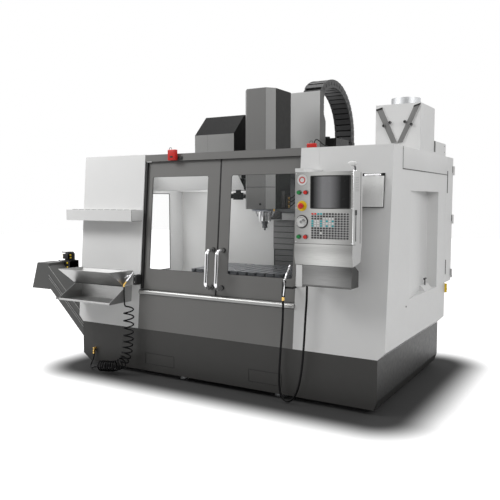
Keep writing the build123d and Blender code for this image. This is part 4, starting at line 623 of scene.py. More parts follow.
@dataclass(frozen=True)
class PendantCase(Finish):
    """Pendant case: a brushed steel face with a painted reflection, bright at its middle and darker to its
    sides, and enamelled flanks.
    """

    steel: Point
    paint: Point
    # middle and half width of the painted reflection
    middle: float = AXES.at(1070, 0, 0).x
    half: float = 0.26

    def lay(self, coat: Coat) -> None:
        """Lays the finish.

        Args:
            coat: the coat to lay it on.
        """
        grain = coat.noise(LINE_SCALE, 4, (LINE_STRETCH, 1, 1))
        cloud = coat.noise(3)
        # painted reflection: the steel's shade falls off from its middle towards its sides
        sheen_bright = coat.shade(coat.spread(grain, 0, 1), self.steel, 0.86, 1.1)
        sheen_dark = coat.shade(grain, self.steel, 0.42, 0.5)
        aside = coat.math("SUBTRACT", coat.axis(coat.space(), "X"), self.middle)
        sheen_falloff = coat.ranged(coat.math("ABSOLUTE", aside), (0.0, self.half), kind="SMOOTHSTEP")
        facing = coat.opposite(coat.above("Y", -0.5, "Normal"))
        shade = coat.pick(facing, coat.shade(cloud, self.paint, 0.97, 1.03), coat.pick(sheen_falloff, sheen_bright, sheen_dark))
        coat.set(Base_Color=shade, Metallic=facing, Roughness=coat.spread(cloud, 0.3, 0.42))
        coat.bump(grain, 0.08, GRAIN_DEPTH)


WHITE = (0.72, 0.72, 0.715)
GREY = (0.165, 0.163, 0.158)
CHARCOAL = (0.052, 0.051, 0.049)


class Finishes:
    """All the machine's finishes, built once and shared by name."""

    def __init__(self) -> None:
        """Builds every material."""
        ledge = (688.0 * MM, 735.5 * MM)
        recipes = [Paint("white_enamel", WHITE), Paint("inner_enamel", (0.62, 0.62, 0.615), (0.4, 0.5)),
                   Paint("grey_enamel", GREY), Paint("charcoal_enamel", CHARCOAL, (0.36, 0.5)),
                   # column cover plate: slats below, plate above, painted shade on its right side
                   BandedPaint("plate_enamel", (0.17, 0.17, 0.168), (0.47, 0.47, 0.465), 1300 * MM,
                               right_side_shade=(0.085, 0.085, 0.083)),
                   BandedPaint("column_enamel", (0.28, 0.285, 0.29), (0.02, 0.02, 0.02), 1890 * MM),
                   BandedPaint("liner_enamel", (0.55, 0.55, 0.545), (0.72, 0.72, 0.715), 1593 * MM),
                   BandedPaint("auger_enamel", (0.088, 0.088, 0.086), (0.012, 0.012, 0.012),
                               AXES.at(0, 257.6, 0).y, "Y"),
                   # head cover: painted light on its chamfer, painted shade on its right side
                   SideShadedPaint("cover_enamel", (0.185, 0.184, 0.180), (0.016, 0.016, 0.015),
                              (0.38, 0.38, 0.375)),
                   Paint("casting_enamel", (0.28, 0.285, 0.29), (0.4, 0.55), 0.3, 0.08),
                   Paint("black_enamel", (0.02, 0.02, 0.02), (0.3, 0.45)),
                   Paint("red_enamel", (0.55, 0.02, 0.015), (0.3, 0.4)),
                   Paint("yellow_enamel", (0.80, 0.55, 0.02), (0.3, 0.4)),
                   DoorwayPaint("doorway_enamel", GREY, (0.26, 0.26, 0.255), ledge),
                   # tool changer cover: painted shade on its top slope and right side
                   ChangerShadedPaint("changer_enamel", (0.29, 0.29, 0.285), (0.016, 0.016, 0.016),
                                (0.004, 0.004, 0.004)),
                   PendantCase("pendant_case", (0.45, 0.45, 0.44), (0.62, 0.62, 0.615)),
                   Brushed("brushed_stainless", (0.47, 0.47, 0.465), rough=(0.34, 0.46)),
                   Brushed("stainless_upright", (0.55, 0.55, 0.545), "Z"),
                   Brushed("ground_steel", (0.30, 0.31, 0.34), "Y", (0.25, 0.4)),
                   Brushed("dark_slats", (0.16, 0.16, 0.16), "X", (0.35, 0.5)),
                   # pendant bin: steel darkened to paint the shade at its side
                   Brushed("bin_steel", (0.12, 0.12, 0.118), "X", (0.3, 0.42)),
                   # the bin's front takes the same painted reflection
                   PendantCase("bin_front", (0.22, 0.22, 0.217), (0.1, 0.1, 0.1)),
                   Brushed("duct_zinc", (0.60, 0.61, 0.62), "Z", (0.42, 0.55)),
                   # base skirt: painted shade on its right side
                   SideShadedPaint("skirt_enamel", CHARCOAL, (0.034, 0.034, 0.033), CHARCOAL, shine=0.2),
                   Polished("chrome_plate", (0.72, 0.72, 0.73)),
                   Polished("galvanised", (0.62, 0.63, 0.64), (0.22, 0.36)),
                   Polished("stainless_bright", (0.78, 0.78, 0.78), (0.14, 0.24)),
                   Polished("tool_steel", (0.10, 0.10, 0.105), (0.22, 0.34)),
                   Polished("brass", (0.72, 0.47, 0.14), (0.15, 0.3)),
                   Moulded("black_plastic", (0.018, 0.018, 0.018)),
                   Moulded("chain_plastic", (0.045, 0.045, 0.046), (0.35, 0.5)),
                   Moulded("black_rubber", (0.012, 0.012, 0.012), (0.55, 0.7)),
                   Moulded("hose_skin", (0.004, 0.004, 0.0045), (0.4, 0.5), shine=0.12),
                   Moulded("strap_weave", (0.20, 0.20, 0.197), (0.55, 0.7), 0.5, 500),
                   Moulded("red_gloss", (0.60, 0.02, 0.015), (0.12, 0.2), 0.03),
                   Moulded("green_gloss", (0.01, 0.22, 0.05), (0.12, 0.2), 0.03),
                   Moulded("teal_key", (0.005, 0.40, 0.44), (0.3, 0.4)),
                   Moulded("orange_key", (0.72, 0.03, 0.015), (0.3, 0.4)),
                   Moulded("grey_key", (0.035, 0.035, 0.035), (0.3, 0.4)),
                   Moulded("black_key", (0.008, 0.008, 0.008), (0.3, 0.4)),
                   Moulded("white_key", (0.75, 0.75, 0.74), (0.3, 0.4)),
                   Moulded("key_field", (0.50, 0.50, 0.495), (0.35, 0.45), 0.05),
                   Moulded("lamp_cover", (0.80, 0.80, 0.79), (0.25, 0.35), 0.05),
                   Moulded("grey_cable", (0.30, 0.30, 0.30), (0.4, 0.5)),
                   # light grey that paints highlights on the tray's rolled edges and the auger's ribs
                   Moulded("rib_edge", (0.45, 0.45, 0.445), (0.35, 0.45), 0.05),
                   Moulded("white_dial", (0.70, 0.70, 0.69), (0.3, 0.4)), ClearSheet("clear_sheet"),
                   DarkScreen("dark_screen")]
        self.materials = {recipe.name: recipe.build() for recipe in recipes}

    def __getitem__(self, name: str) -> bpy.types.Material:
        """Gives a material by its name."""
        return self.materials[name]


NODE_FINISHES: dict[str, str] = {
    "levelling_pads": "galvanised", "base_casting": "casting_enamel", "base_skirt": "skirt_enamel",
    "door_frame": "doorway_enamel", "left_front_panel": "white_enamel", "left_side_panel": "white_enamel",
    "left_side_window": "clear_sheet", "right_front_panel": "white_enamel",
    "right_side_panel": "white_enamel", "side_access_panel": "white_enamel",
    "access_latch": "black_plastic", "enclosure_liner": "liner_enamel",
    "interlock_switches": "red_enamel", "electrical_cabinet": "white_enamel",
    "electrical_cabinet_door": "white_enamel", "disconnect_handle": "red_gloss",
    "mist_extractor": "white_enamel", "tool_shelf": "white_enamel", "parts_tray": "brushed_stainless",
    "auger_trough": "auger_enamel", "auger_screw": "ground_steel", "column_casting": "column_enamel",
    "bed_rails": "ground_steel", "column_rails": "ground_steel", "column_shutter": "dark_slats",
    "saddle": "casting_enamel", "work_table": "ground_steel", "head_casting": "casting_enamel",
    "head_cover": "cover_enamel", "column_cover_plate": "plate_enamel", "spindle": "chrome_plate",
    "tool_holder": "tool_steel", "cable_carrier": "chain_plastic",
    "tool_changer_housing": "changer_enamel", "tool_carousel": "black_plastic",
    "tool_arm": "black_plastic", "left_door": "grey_enamel", "left_door_window": "clear_sheet",
    "left_door_handle": "chrome_plate", "right_door": "grey_enamel", "right_door_window": "clear_sheet",
    "right_door_handle": "chrome_plate", "pendant_arm": "white_enamel", "pendant_housing": "pendant_case",
    "pendant_screen": "dark_screen", "pendant_keys": "key_field", "power_on_button": "green_gloss",
    "power_off_button": "red_gloss", "cycle_start_button": "green_gloss", "feed_hold_button": "red_gloss",
    "emergency_stop": "red_gloss", "jog_handwheel": "white_dial", "pendant_bin": "bin_steel",
    "beacon_lamp": "chrome_plate", "clipboard": "lamp_cover", "air_hose_coil": "hose_skin",
    "air_hose_tails": "hose_skin", "air_gun": "black_plastic", "wash_hose": "hose_skin",
    "wash_gun": "black_plastic",
}


def dress_nodes(finishes: Finishes) -> None:
    """Gives every carried-over node its finish.

    Args:
        finishes: the machine's finishes.
    """
    for name, finish in NODE_FINISHES.items():
        node = frame["nodes"][name]
        if not node.material_slots:
            node.data.materials.append(finishes[finish])
        for holder in node.material_slots:
            holder.material = finishes[finish]


# Modelling


def round_line(name: str, points: Sequence[Vector], diameter: float, rounding: int) -> Object:
    """Makes a round NURBS line through its control points.

    Args:
        name: its name.
        points: control points in metres.
        diameter: in millimetres, 0 for a bare line.
        rounding: steps of each quarter of its section.

    Returns:
        The curve object.
    """
    curve = bpy.data.curves.new(name, "CURVE")
    curve.dimensions = "3D"
    curve.bevel_depth = diameter / 2 * MM
    curve.bevel_resolution = rounding
    curve.resolution_u = 6
    spline = curve.splines.new("NURBS")
    spline.points.add(len(points) - 1)
    for control, point in zip(spline.points, points):
        control.co = (*point, 1)
    spline.order_u = 3
    spline.use_endpoint_u = True
    obj = bpy.data.objects.new(name, curve)
    bpy.context.scene.collection.objects.link(obj)
    return obj


class Bench:
    """Makes finished meshes by operators, with each place in the mesh itself."""

    def __init__(self, finishes: Finishes) -> None:
        """Keeps the finishes that pieces are given.

        Args:
            finishes: the machine's finishes.
        """
        self.finishes = finishes

    @staticmethod
    def clear() -> None:
        """Deselects everything."""
        for obj in bpy.context.view_layer.objects:
            obj.select_set(False)

    def _settle(self, finish: str, bevel: float = 0.0, steps: int = 2, smooth: float = 35.0) -> Object:
        """Bakes the active object's place, rounds its edges and dresses it.

        Args:
            finish: the name of its finish.
            bevel: edge radius in millimetres.
            steps: segments of each rounded edge.
            smooth: angle under which faces shade smoothly, in degrees.

        Returns:
            The object.
        """
        obj = bpy.context.active_object
        bpy.ops.object.transform_apply(location=True, rotation=True, scale=True)
        if bevel > 0:
            rounding = obj.modifiers.new("edges", "BEVEL")
            rounding.width = bevel * MM
            rounding.segments = steps
            rounding.limit_method = "ANGLE"
            rounding.angle_limit = math.radians(40)
            bpy.ops.object.modifier_apply(modifier=rounding.name)
        bpy.ops.object.shade_smooth_by_angle(angle=math.radians(smooth))
        obj.data.materials.clear()
        obj.data.materials.append(self.finishes[finish])
        return obj

    def block(self, x: Span, y: Span, z: Span, finish: str, bevel: float = 1.5, steps: int = 2) -> Object:
        """Makes a block between two limits on each axis.

        Args:
            x: limits in millimetres, as for y and z.
            y: limits.
            z: limits.
            finish: the name of its finish.
            bevel: edge radius in millimetres.
            steps: segments of each rounded edge.

        Returns:
            The object.
        """
        self.clear()
        low, high = AXES.at(x[0], y[0], z[0]), AXES.at(x[1], y[1], z[1])
        bpy.ops.mesh.primitive_cube_add(size=1, location=(low + high) / 2)
        bpy.context.active_object.scale = high - low
        return self._settle(finish, bevel, steps)

    def bar(self, start: Point, end: Point, radius: float, finish: str, bevel: float = 0.8,
            sides: int = 32, tip: float | None = None) -> Object:
        """Makes a round bar or cone between two points.

        Args:
            start: first end, in millimetres.
            end: second end.
            radius: radius at the first end.
            finish: the name of its finish.
            bevel: rim radius in millimetres.
            sides: faces around it.
            tip: radius at the second end, or none for a plain bar.

        Returns:
            The object.
        """
        self.clear()
        low, high = AXES.at(*start), AXES.at(*end)
        turn = (high - low).to_track_quat("Z", "Y")
        bpy.ops.mesh.primitive_cone_add(vertices=sides, radius1=radius * MM,
                                        radius2=(radius if tip is None else tip) * MM,
                                        depth=(high - low).length, location=(low + high) / 2,
                                        rotation=turn.to_euler())
        return self._settle(finish, bevel)

    def ring(self, centre: Point, axis: Point, radius: float, thickness: float, finish: str,
             sides: int = 40) -> Object:
        """Makes a torus.

        Args:
            centre: its centre, in millimetres.
            axis: its axis.
            radius: radius of its middle line.
            thickness: diameter of its section.
            finish: the name of its finish.
            sides: segments around it.

        Returns:
            The object.
        """
        self.clear()
        turn = Vector(axis).to_track_quat("Z", "Y")
        bpy.ops.mesh.primitive_torus_add(location=AXES.at(*centre), rotation=turn.to_euler(),
                                         major_radius=radius * MM, minor_radius=thickness / 2 * MM,
                                         major_segments=sides, minor_segments=12)
        return self._settle(finish, smooth=80)

    def _new(self, name: str, points: Sequence[Vector], edges: Sequence[tuple[int, int]],
             faces: Sequence[Sequence[int]]) -> Object:
        """Makes an object from points and selects it, with all of its mesh selected.

        Args:
            name: its name.
            points: corner points in metres.
            edges: pairs of points.
            faces: rings of points.

        Returns:
            The object, in edit mode.
        """
        self.clear()
        mesh = bpy.data.meshes.new(name)
        mesh.from_pydata(points, edges, faces)
        obj = bpy.data.objects.new(name, mesh)
        bpy.context.scene.collection.objects.link(obj)
        obj.select_set(True)
        bpy.context.view_layer.objects.active = obj
        bpy.ops.object.mode_set(mode="EDIT")
        bpy.ops.mesh.select_all(action="SELECT")
        return obj

    def _thicken(self, push: Vector) -> None:
        """Extrudes the mesh in edit mode and turns its faces outwards.

        Args:
            push: the extrusion in metres.
        """
        bpy.ops.mesh.extrude_region_move(TRANSFORM_OT_translate={"value": push})
        bpy.ops.mesh.select_all(action="SELECT")
        bpy.ops.mesh.normals_make_consistent(inside=False)
        bpy.ops.object.mode_set(mode="OBJECT")

    def sheet(self, outline: Iterable[Point], push: Point, finish: str, bevel: float = 0.6) -> Object:
        """Makes a plate: an outline filled and extruded.

        Args:
            outline: corner points in millimetres.
            push: the extrusion in millimetres.
            finish: the name of its finish.
            bevel: edge radius in millimetres.

        Returns:
            The object.
        """
        corners = [AXES.at(*p) for p in outline]
        self._new("plate", corners, [], [list(range(len(corners)))])
        self._thicken(Vector(push) * MM)
        return self._settle(finish, bevel)

    def rim(self, x: Span, z: Span, corner: float, reach: Span, y: Span, finish: str) -> Object:
        """Makes a frame round an upright opening with rounded corners.

        Args:
            x: the opening's limits in millimetres, as for z.
            z: the opening's limits.
            corner: its corner radius.
            reach: how far outside the opening the frame's inner and outer edges lie.
            y: the frame's limits in depth.
            finish: the name of its finish.

        Returns:
            The object.
        """
        centres = ((x[1] - corner, z[1] - corner), (x[0] + corner, z[1] - corner),
                   (x[0] + corner, z[0] + corner), (x[1] - corner, z[0] + corner))
        points = []
        for grow in reach:
            for quarter, (cx, cz) in enumerate(centres):
                for step in range(7):
                    turn = math.radians(90 * quarter + 15 * step)
                    points.append(AXES.at(cx + (corner + grow) * math.cos(turn), y[0],
                                          cz + (corner + grow) * math.sin(turn)))
        count = len(points) // 2
        faces = [(i, (i + 1) % count, count + (i + 1) % count, count + i) for i in range(count)]
        self._new("frame", points, [], faces)
        self._thicken(Vector((0, (y[1] - y[0]) * MM, 0)))
        return self._settle(finish, 0.5)

    def turned(self, place: Point, axis: Point, profile: Sequence[Span], finish: str, sides: int = 32,
               smooth: float = 35.0) -> Object:
        """Makes a turned piece: a half section spun round its axis.

        Args:
            place: the axis's start, in millimetres.
            axis: its direction.
            profile: radius and height of each corner of the half section.
            finish: the name of its finish.
            sides: steps round the axis.
            smooth: angle under which faces shade smoothly, in degrees.

        Returns:
            The object.
        """
        points = [Vector((radius * MM, 0, height * MM)) for radius, height in profile]
        obj = self._new("turned", points, [(i, i + 1) for i in range(len(points) - 1)], [])
        bpy.ops.mesh.spin(steps=sides, angle=2 * math.pi, center=(0, 0, 0), axis=UP)
        bpy.ops.mesh.select_all(action="SELECT")
        bpy.ops.mesh.remove_doubles(threshold=0.00001)
        bpy.ops.mesh.normals_make_consistent(inside=False)
        bpy.ops.object.mode_set(mode="OBJECT")
        turn = Vector(axis).to_track_quat("Z", "Y").to_matrix().to_4x4()
        obj.matrix_world = Matrix.Translation(AXES.at(*place)) @ turn
        return self._settle(finish, smooth=smooth)

    def tube(self, points: Sequence[Point], diameter: float, finish: str) -> Object:
        """Makes a bent tube or rod along a smooth line.

        Args:
            points: control points in millimetres.
            diameter: its diameter.
            finish: the name of its finish.

        Returns:
            The object.
        """
        self.clear()
        obj = round_line("tube", [AXES.at(*point) for point in points], diameter, 3)
        obj.data.use_fill_caps = True
        obj.select_set(True)
        bpy.context.view_layer.objects.active = obj
        bpy.ops.object.convert(target="MESH")
        return self._settle(finish, smooth=60)

    @staticmethod
    def _copy(part: Object, change: Matrix) -> Object:
        """Copies a part with its own mesh, moved by a matrix.

        Args:
            part: the part.
            change: the matrix.

        Returns:
            The copy.
        """
        twin = part.copy()
        twin.data = part.data.copy()
        twin.data.transform(change)
        bpy.context.scene.collection.objects.link(twin)
        return twin

    def copies(self, part: Object, offsets: Iterable[Point]) -> list[Object]:
        """Copies a part to each offset, in millimetres."""
        return [self._copy(part, Matrix.Translation(Vector(offset) * MM)) for offset in offsets]

    def around(self, part: Object, centre: Point, degrees: float) -> Object:
        """Copies a part turned round a front to back axis through a centre.

        Args:
            part: the part.
            centre: the centre in millimetres.
            degrees: the turn.

        Returns:
            The copy.
        """
        pivot = AXES.at(*centre)
        turn = Matrix.Rotation(math.radians(degrees), 4, "Y")
        return self._copy(part, Matrix.Translation(pivot) @ turn @ Matrix.Translation(-pivot))

    @staticmethod
    def lean(obj: Object) -> Object:
        """Slants a piece drawn with y as depth behind an upright face onto the leaning face.

        Args:
            obj: the piece.

        Returns:
            The same piece.
        """
        slant = Matrix.Identity(4)
        slant[1][2] = AXES.lean
        slant[1][3] = -AXES.lean * AXES.lean_from * MM
        obj.data.transform(slant)
        return obj

    def join(self, name: str, parts: Sequence[Object]) -> Object:
        """Joins meshes into one piece.

        Args:
            name: the piece's name.
            parts: the meshes.

        Returns:
            The piece.
        """
        self.clear()
        for part in parts:
            part.select_set(True)
        bpy.context.view_layer.objects.active = parts[0]
        if len(parts) > 1:
            bpy.ops.object.join()
        piece = bpy.context.active_object
        piece.name = name
        piece.data.name = name
        return piece

    def fit(self, name: str, parts: Sequence[Object], body: Body, slot: str, *nodes: str) -> None:
        """Joins meshes into one piece and seats it.

        Args:
            name: the piece's name.
            parts: the meshes.
            body: the body that it rides on.
            slot: passed on to seat, which does not use it.
            nodes: the nodes that it replaces.
        """
        seat(self.join(name, parts), body, slot, *nodes)

    def screw(self, place: Point, axis: Point, radius: float, finish: str = "galvanised") -> Object:
        """Makes a low button-head screw standing on a face.

        Args:
            place: middle of its seat, in millimetres.
            axis: direction out of the face.
            radius: head radius.
            finish: the name of its finish.

        Returns:
            The object.
        """
        out = Vector(place) + Vector(axis).normalized() * radius * 0.55
        return self.bar(place, tuple(out), radius, finish, radius * 0.3, 16, radius * 0.7)


def seat(piece: Object, body: Body, slot: str, *nodes: str) -> None:
    """Makes a piece ride on a body and hides the nodes that it replaces.

    Args:
        piece: the finished piece.
        body: the body that it rides on.
        slot: not used.
        nodes: the nodes that it replaces.
    """
    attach(piece, body.value)
    if nodes:
        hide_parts(*nodes)
    log.info("%s rides on %s: %d faces", piece.name, body.value,
             len(piece.data.polygons) if piece.type == "MESH" else 0)


# Hoses


@dataclass
class Hoses:
    """The coiled air hose on the left and the wash-down hose on the right."""

    bench: Bench
    air_diameter: float = 12.0
    coil_diameter: float = 98.0
    wash_diameter: float = 16.0
    gun_exit: Point = (-822.0, -85.0, 764.0)
    coil_top: Point = (-772.0, -86.0, 600.0)
    coil_end: Point = (-1060.0, -149.0, 62.0)
    air_fitting: Point = (-1244.0, -26.0, 132.0)
    wash_gun_foot: Point = (690.0, -46.0, 764.0)
    wash_fitting: Point = (871.0, -20.0, 900.0)
    points_per_turn: int = 14
    pitches: tuple[tuple[float, float], ...] = ((0.0, 64.0), (260.0, 50.0), (430.0, 34.0), (560.0, 26.0))

    def _spline(self, name: str, points: Sequence[Vector], diameter: float) -> Object:
        """Makes a hose.

        Args:
            name: the piece's name.
            points: control points in metres.
            diameter: in millimetres, 0 for a bare line.

        Returns:
            The curve object.
        """
        obj = round_line(name, points, diameter, 4)
        obj.data.materials.append(self.bench.finishes["hose_skin"])
        return obj

    def _line(self, points: Sequence[Vector]) -> list[Vector]:
        """Reads the smooth line that NURBS control points give.

        Args:
            points: control points in metres.

        Returns:
            Points along the line.
        """
        route = self._spline("route", points, 0)
        bpy.context.view_layer.update()
        mesh = bpy.data.meshes.new_from_object(route)
        line = [vertex.co.copy() for vertex in mesh.vertices]
        bpy.data.objects.remove(route)
        bpy.data.meshes.remove(mesh)
        return line

    def _length(self, points: Sequence[Vector]) -> float:
        """Gives the length of the hose that control points give, in metres."""
        line = self._line(points)
        return sum((b - a).length for a, b in zip(line, line[1:]))

    def _pitch(self, travelled: float) -> float:
        """Gives the coil's pitch at a distance along its middle, in millimetres."""
        return [pitch for start, pitch in self.pitches if travelled >= start][-1]

    def _helix(self, line: Sequence[Vector]) -> list[Vector]:
        """Winds turns of varying pitch round a line.

        Args:
            line: points along the coil's middle, in metres.

        Returns:
            The control points of the turns.
        """
        radius = (self.coil_diameter - self.air_diameter) / 2 * MM - 0.0005
        lengths = [0.0]
        for a, b in zip(line, line[1:]):
            lengths.append(lengths[-1] + (b - a).length)
        side = Vector((1, 0, 0))
        points = []
        travelled, turned, index = 0.004, math.pi, 0
        while travelled < lengths[-1] - 0.004:
            while index < len(line) - 2 and lengths[index + 1] < travelled:
                index += 1
            share = (travelled - lengths[index]) / (lengths[index + 1] - lengths[index])
            middle = line[index].lerp(line[index + 1], share)
            ahead = (line[index + 1] - line[index]).normalized()
            side = (side - ahead * side.dot(ahead)).normalized()
            other = ahead.cross(side)
            grow = min(1.0, 0.9 + travelled / 0.03, 0.35 + (lengths[-1] - travelled) / 0.03)
            wobble = 1 - 0.02 * (1 + math.sin(turned * 0.37))
            reach = radius * grow * wobble
            points.append(middle + (side * math.cos(turned) + other * math.sin(turned)) * reach)
            turned += 2 * math.pi / self.points_per_turn
            travelled += self._pitch(travelled / MM) * MM / self.points_per_turn
        return points

    def air_hose(self) -> None:
        """Makes the curly air hose from the gun to the fitting on the base."""
        gx, gy, gz = self.gun_exit
        x, y, z = self.coil_top
        upper = [self.gun_exit, (gx, gy, gz - 45), (gx + 1, gy - 1, gz - 92), (x - 47, y, z + 24)]
        middle = [(x, y, z), (x, y, 500), (x + 1, y - 5, 390), (x - 2, y - 12, 285), (x - 6, y - 23, 196),
                  (x - 28, y - 40, 126), (x - 84, y - 58, 84), (x - 172, y - 67, 70), self.coil_end]
        turns = self._helix(self._line([AXES.at(*p) for p in middle]))
        x, y, z = self.coil_end
        fx, fy, fz = self.air_fitting
        lower = [(x - 56, y + 3, z - 16), (x - 107, y + 15, z - 40), (x - 155, y + 43, z - 44),
                 (x - 183, y + 83, z - 24), (fx, fy, fz - 42), self.air_fitting]
        points = [AXES.at(*p) for p in upper] + turns + [AXES.at(*p) for p in lower]
        hose = self._spline("curly_air_hose", points, self.air_diameter)
        length = self._length(points)
        log.info("curly air hose: %.3f m", length)
        seat(hose, Body.FRAME, "black_hose", "air_hose_coil", "air_hose_tails")

    def wash_hose(self) -> None:
        """Makes the wash-down hose that hangs in a long loop to the floor."""
        x, y, z = self.wash_gun_foot
        ex, ey, ez = self.wash_fitting
        route = [(x, y, z), (x, y, 660), (x - 7, y - 3, 520), (x - 18, y - 6, 370), (x - 25, y - 9, 240),
                 (x - 24, y - 13, 130), (x - 8, y - 18, 52), (x + 38, y - 26, 14), (x + 92, y - 27, 34),
                 (x + 132, y - 24, 104), (x + 158, y - 18, 220), (x + 170, y - 10, 360),
                 (x + 175, y + 1, 510), (x + 178, y + 10, 660), (ex, ey, ez - 104), self.wash_fitting]
        points = [AXES.at(*p) for p in route]
        hose = self._spline("wash_down_hose", points, self.wash_diameter)
        length = self._length(points)
        log.info("wash down hose: %.3f m", length)
        seat(hose, Body.FRAME, "grey_hose", "wash_hose")

    def build(self) -> None:
        """Makes both hoses."""
        self.air_hose()
        self.wash_hose()


# Doorway and doors


@dataclass
class Doorway:
    """Doors, their seals and handles, and the switches over them."""

    bench: Bench
    windows: tuple[tuple[Body, Span], ...] = ((Body.LEFT_DOOR, (-672.0, -94.0)),
                                              (Body.RIGHT_DOOR, (128.0, 704.0)))
    window_z: Span = (910.0, 1698.0)
    corner: float = 18.0
    door_face: float = 27.0
    split: float = 26.0
    door_z: Span = (736.0, 1825.0)
    handles: tuple[tuple[Body, float], ...] = ((Body.LEFT_DOOR, -14.0), (Body.RIGHT_DOOR, 83.0))
    handle_z: Span = (800.0, 1100.0)
    handle_socket: Profile = ((17, -2), (20, -2), (20, 10), (18.8, 12), (17.1, 12), (17, -2))

    def seals(self) -> None:
        """Lines both windows with rubber."""
        for body, x in self.windows:
            depth = (self.door_face + 0.8, self.door_face + 4)
            rim = self.bench.lean(self.bench.rim(x, self.window_z, self.corner, (-2.5, 0.5), depth,
                                                 "black_rubber"))
            self.bench.fit(body.value + "_window_seal", [rim], body, "black_plastic")

    def strips(self) -> None:
        """Fits the rubber strips at the doors' edges and where they meet."""
        b, face, z = self.bench, self.door_face, self.door_z
        sides = [b.lean(b.block(x, (7, face - 2.5), z, "black_rubber", 1.0))
                 for x in ((-744.6, -721), (742.4, 746.6))]
        b.fit("doorway_wipers", sides, Body.FRAME, "black_plastic")
        for body, x in ((Body.LEFT_DOOR, (self.split - 7.5, self.split - 1.2)),
                        (Body.RIGHT_DOOR, (self.split + 1.2, self.split + 6.0))):
            strip = b.lean(b.block(x, (face - 1.4, face + 1), z, "black_rubber", 0.5))
            b.fit(body.value + "_meeting_strip", [strip], body, "black_plastic")

    def handle_feet(self) -> None:
        """Puts the black sockets round the handles' ends."""
        b = self.bench
        for body, x in self.handles:
            parts = []
            for z in self.handle_z:
                foot = AXES.face(z) + self.door_face
                parts.append(b.turned((x, foot, z), FRONT, self.handle_socket, "black_plastic"))
            b.fit(body.value + "_handle_sockets", parts, body, "black_plastic")

    def switches(self) -> None:
        """Makes the red door switches, with the cable that leaves the right one."""
        b = self.bench
        left, right = (-472.0, -392.0), (786.0, 859.0)
        top_left, top_right = 1918.0, 1916.0
        left_y = (AXES.face(1886) - 42, AXES.face(1886) - 7)
        right_y = (AXES.face(1884) + 6, AXES.face(1884) + 36)
        parts = [b.block(left, left_y, (1829, top_left), "red_enamel", 5, 3),
                 b.block((left[0] + 24, left[1] - 24), (left_y[0] - 0.8, left_y[0] + 4), (1850, 1866),
                         "black_rubber", 2),
                 b.lean(b.block((-490, -345), (-8, -0.2), (1836, 1862), "black_plastic", 2)),
                 b.block(right, right_y, (1884.2, top_right), "red_enamel", 5, 3)]
        for x, z, y in ((-458, 1900, left_y[0]), (-406, 1900, left_y[0]), (-406, 1840, left_y[0]),
                        (800, 1900, right_y[0])):
            parts.append(b.screw((x, y, z), FRONT, 4, "black_plastic"))
        for x, y, z in ((-452, sum(left_y) / 2, top_left), (818, sum(right_y) / 2, top_right)):
            parts.append(b.tube([(x - 12, y, z - 3), (x - 14, y, z + 13), (x, y, z + 20), (x + 14, y, z + 13),
                                 (x + 12, y, z - 3)], 4.2, "chain_plastic"))
        b.fit("door_switches", parts, Body.FRAME, "red_plastic", "interlock_switches")
        y = sum(right_y) / 2
        cable = b.tube([(842, y, top_right - 4), (844, y, top_right + 22), (864, y + 8, top_right + 30),
                        (898, y + 34, 1904), (925, y + 90, 1888.5), (940, y + 300, 1888), (948, 900, 1888)],
                       7.5, "black_rubber")
        b.fit("switch_cable", [cable], Body.FRAME, "black_plastic")

    def build(self) -> None:
        """Makes every piece of the doorway."""
        self.seals()
        self.strips()
        self.handle_feet()
        self.switches()


# Work area


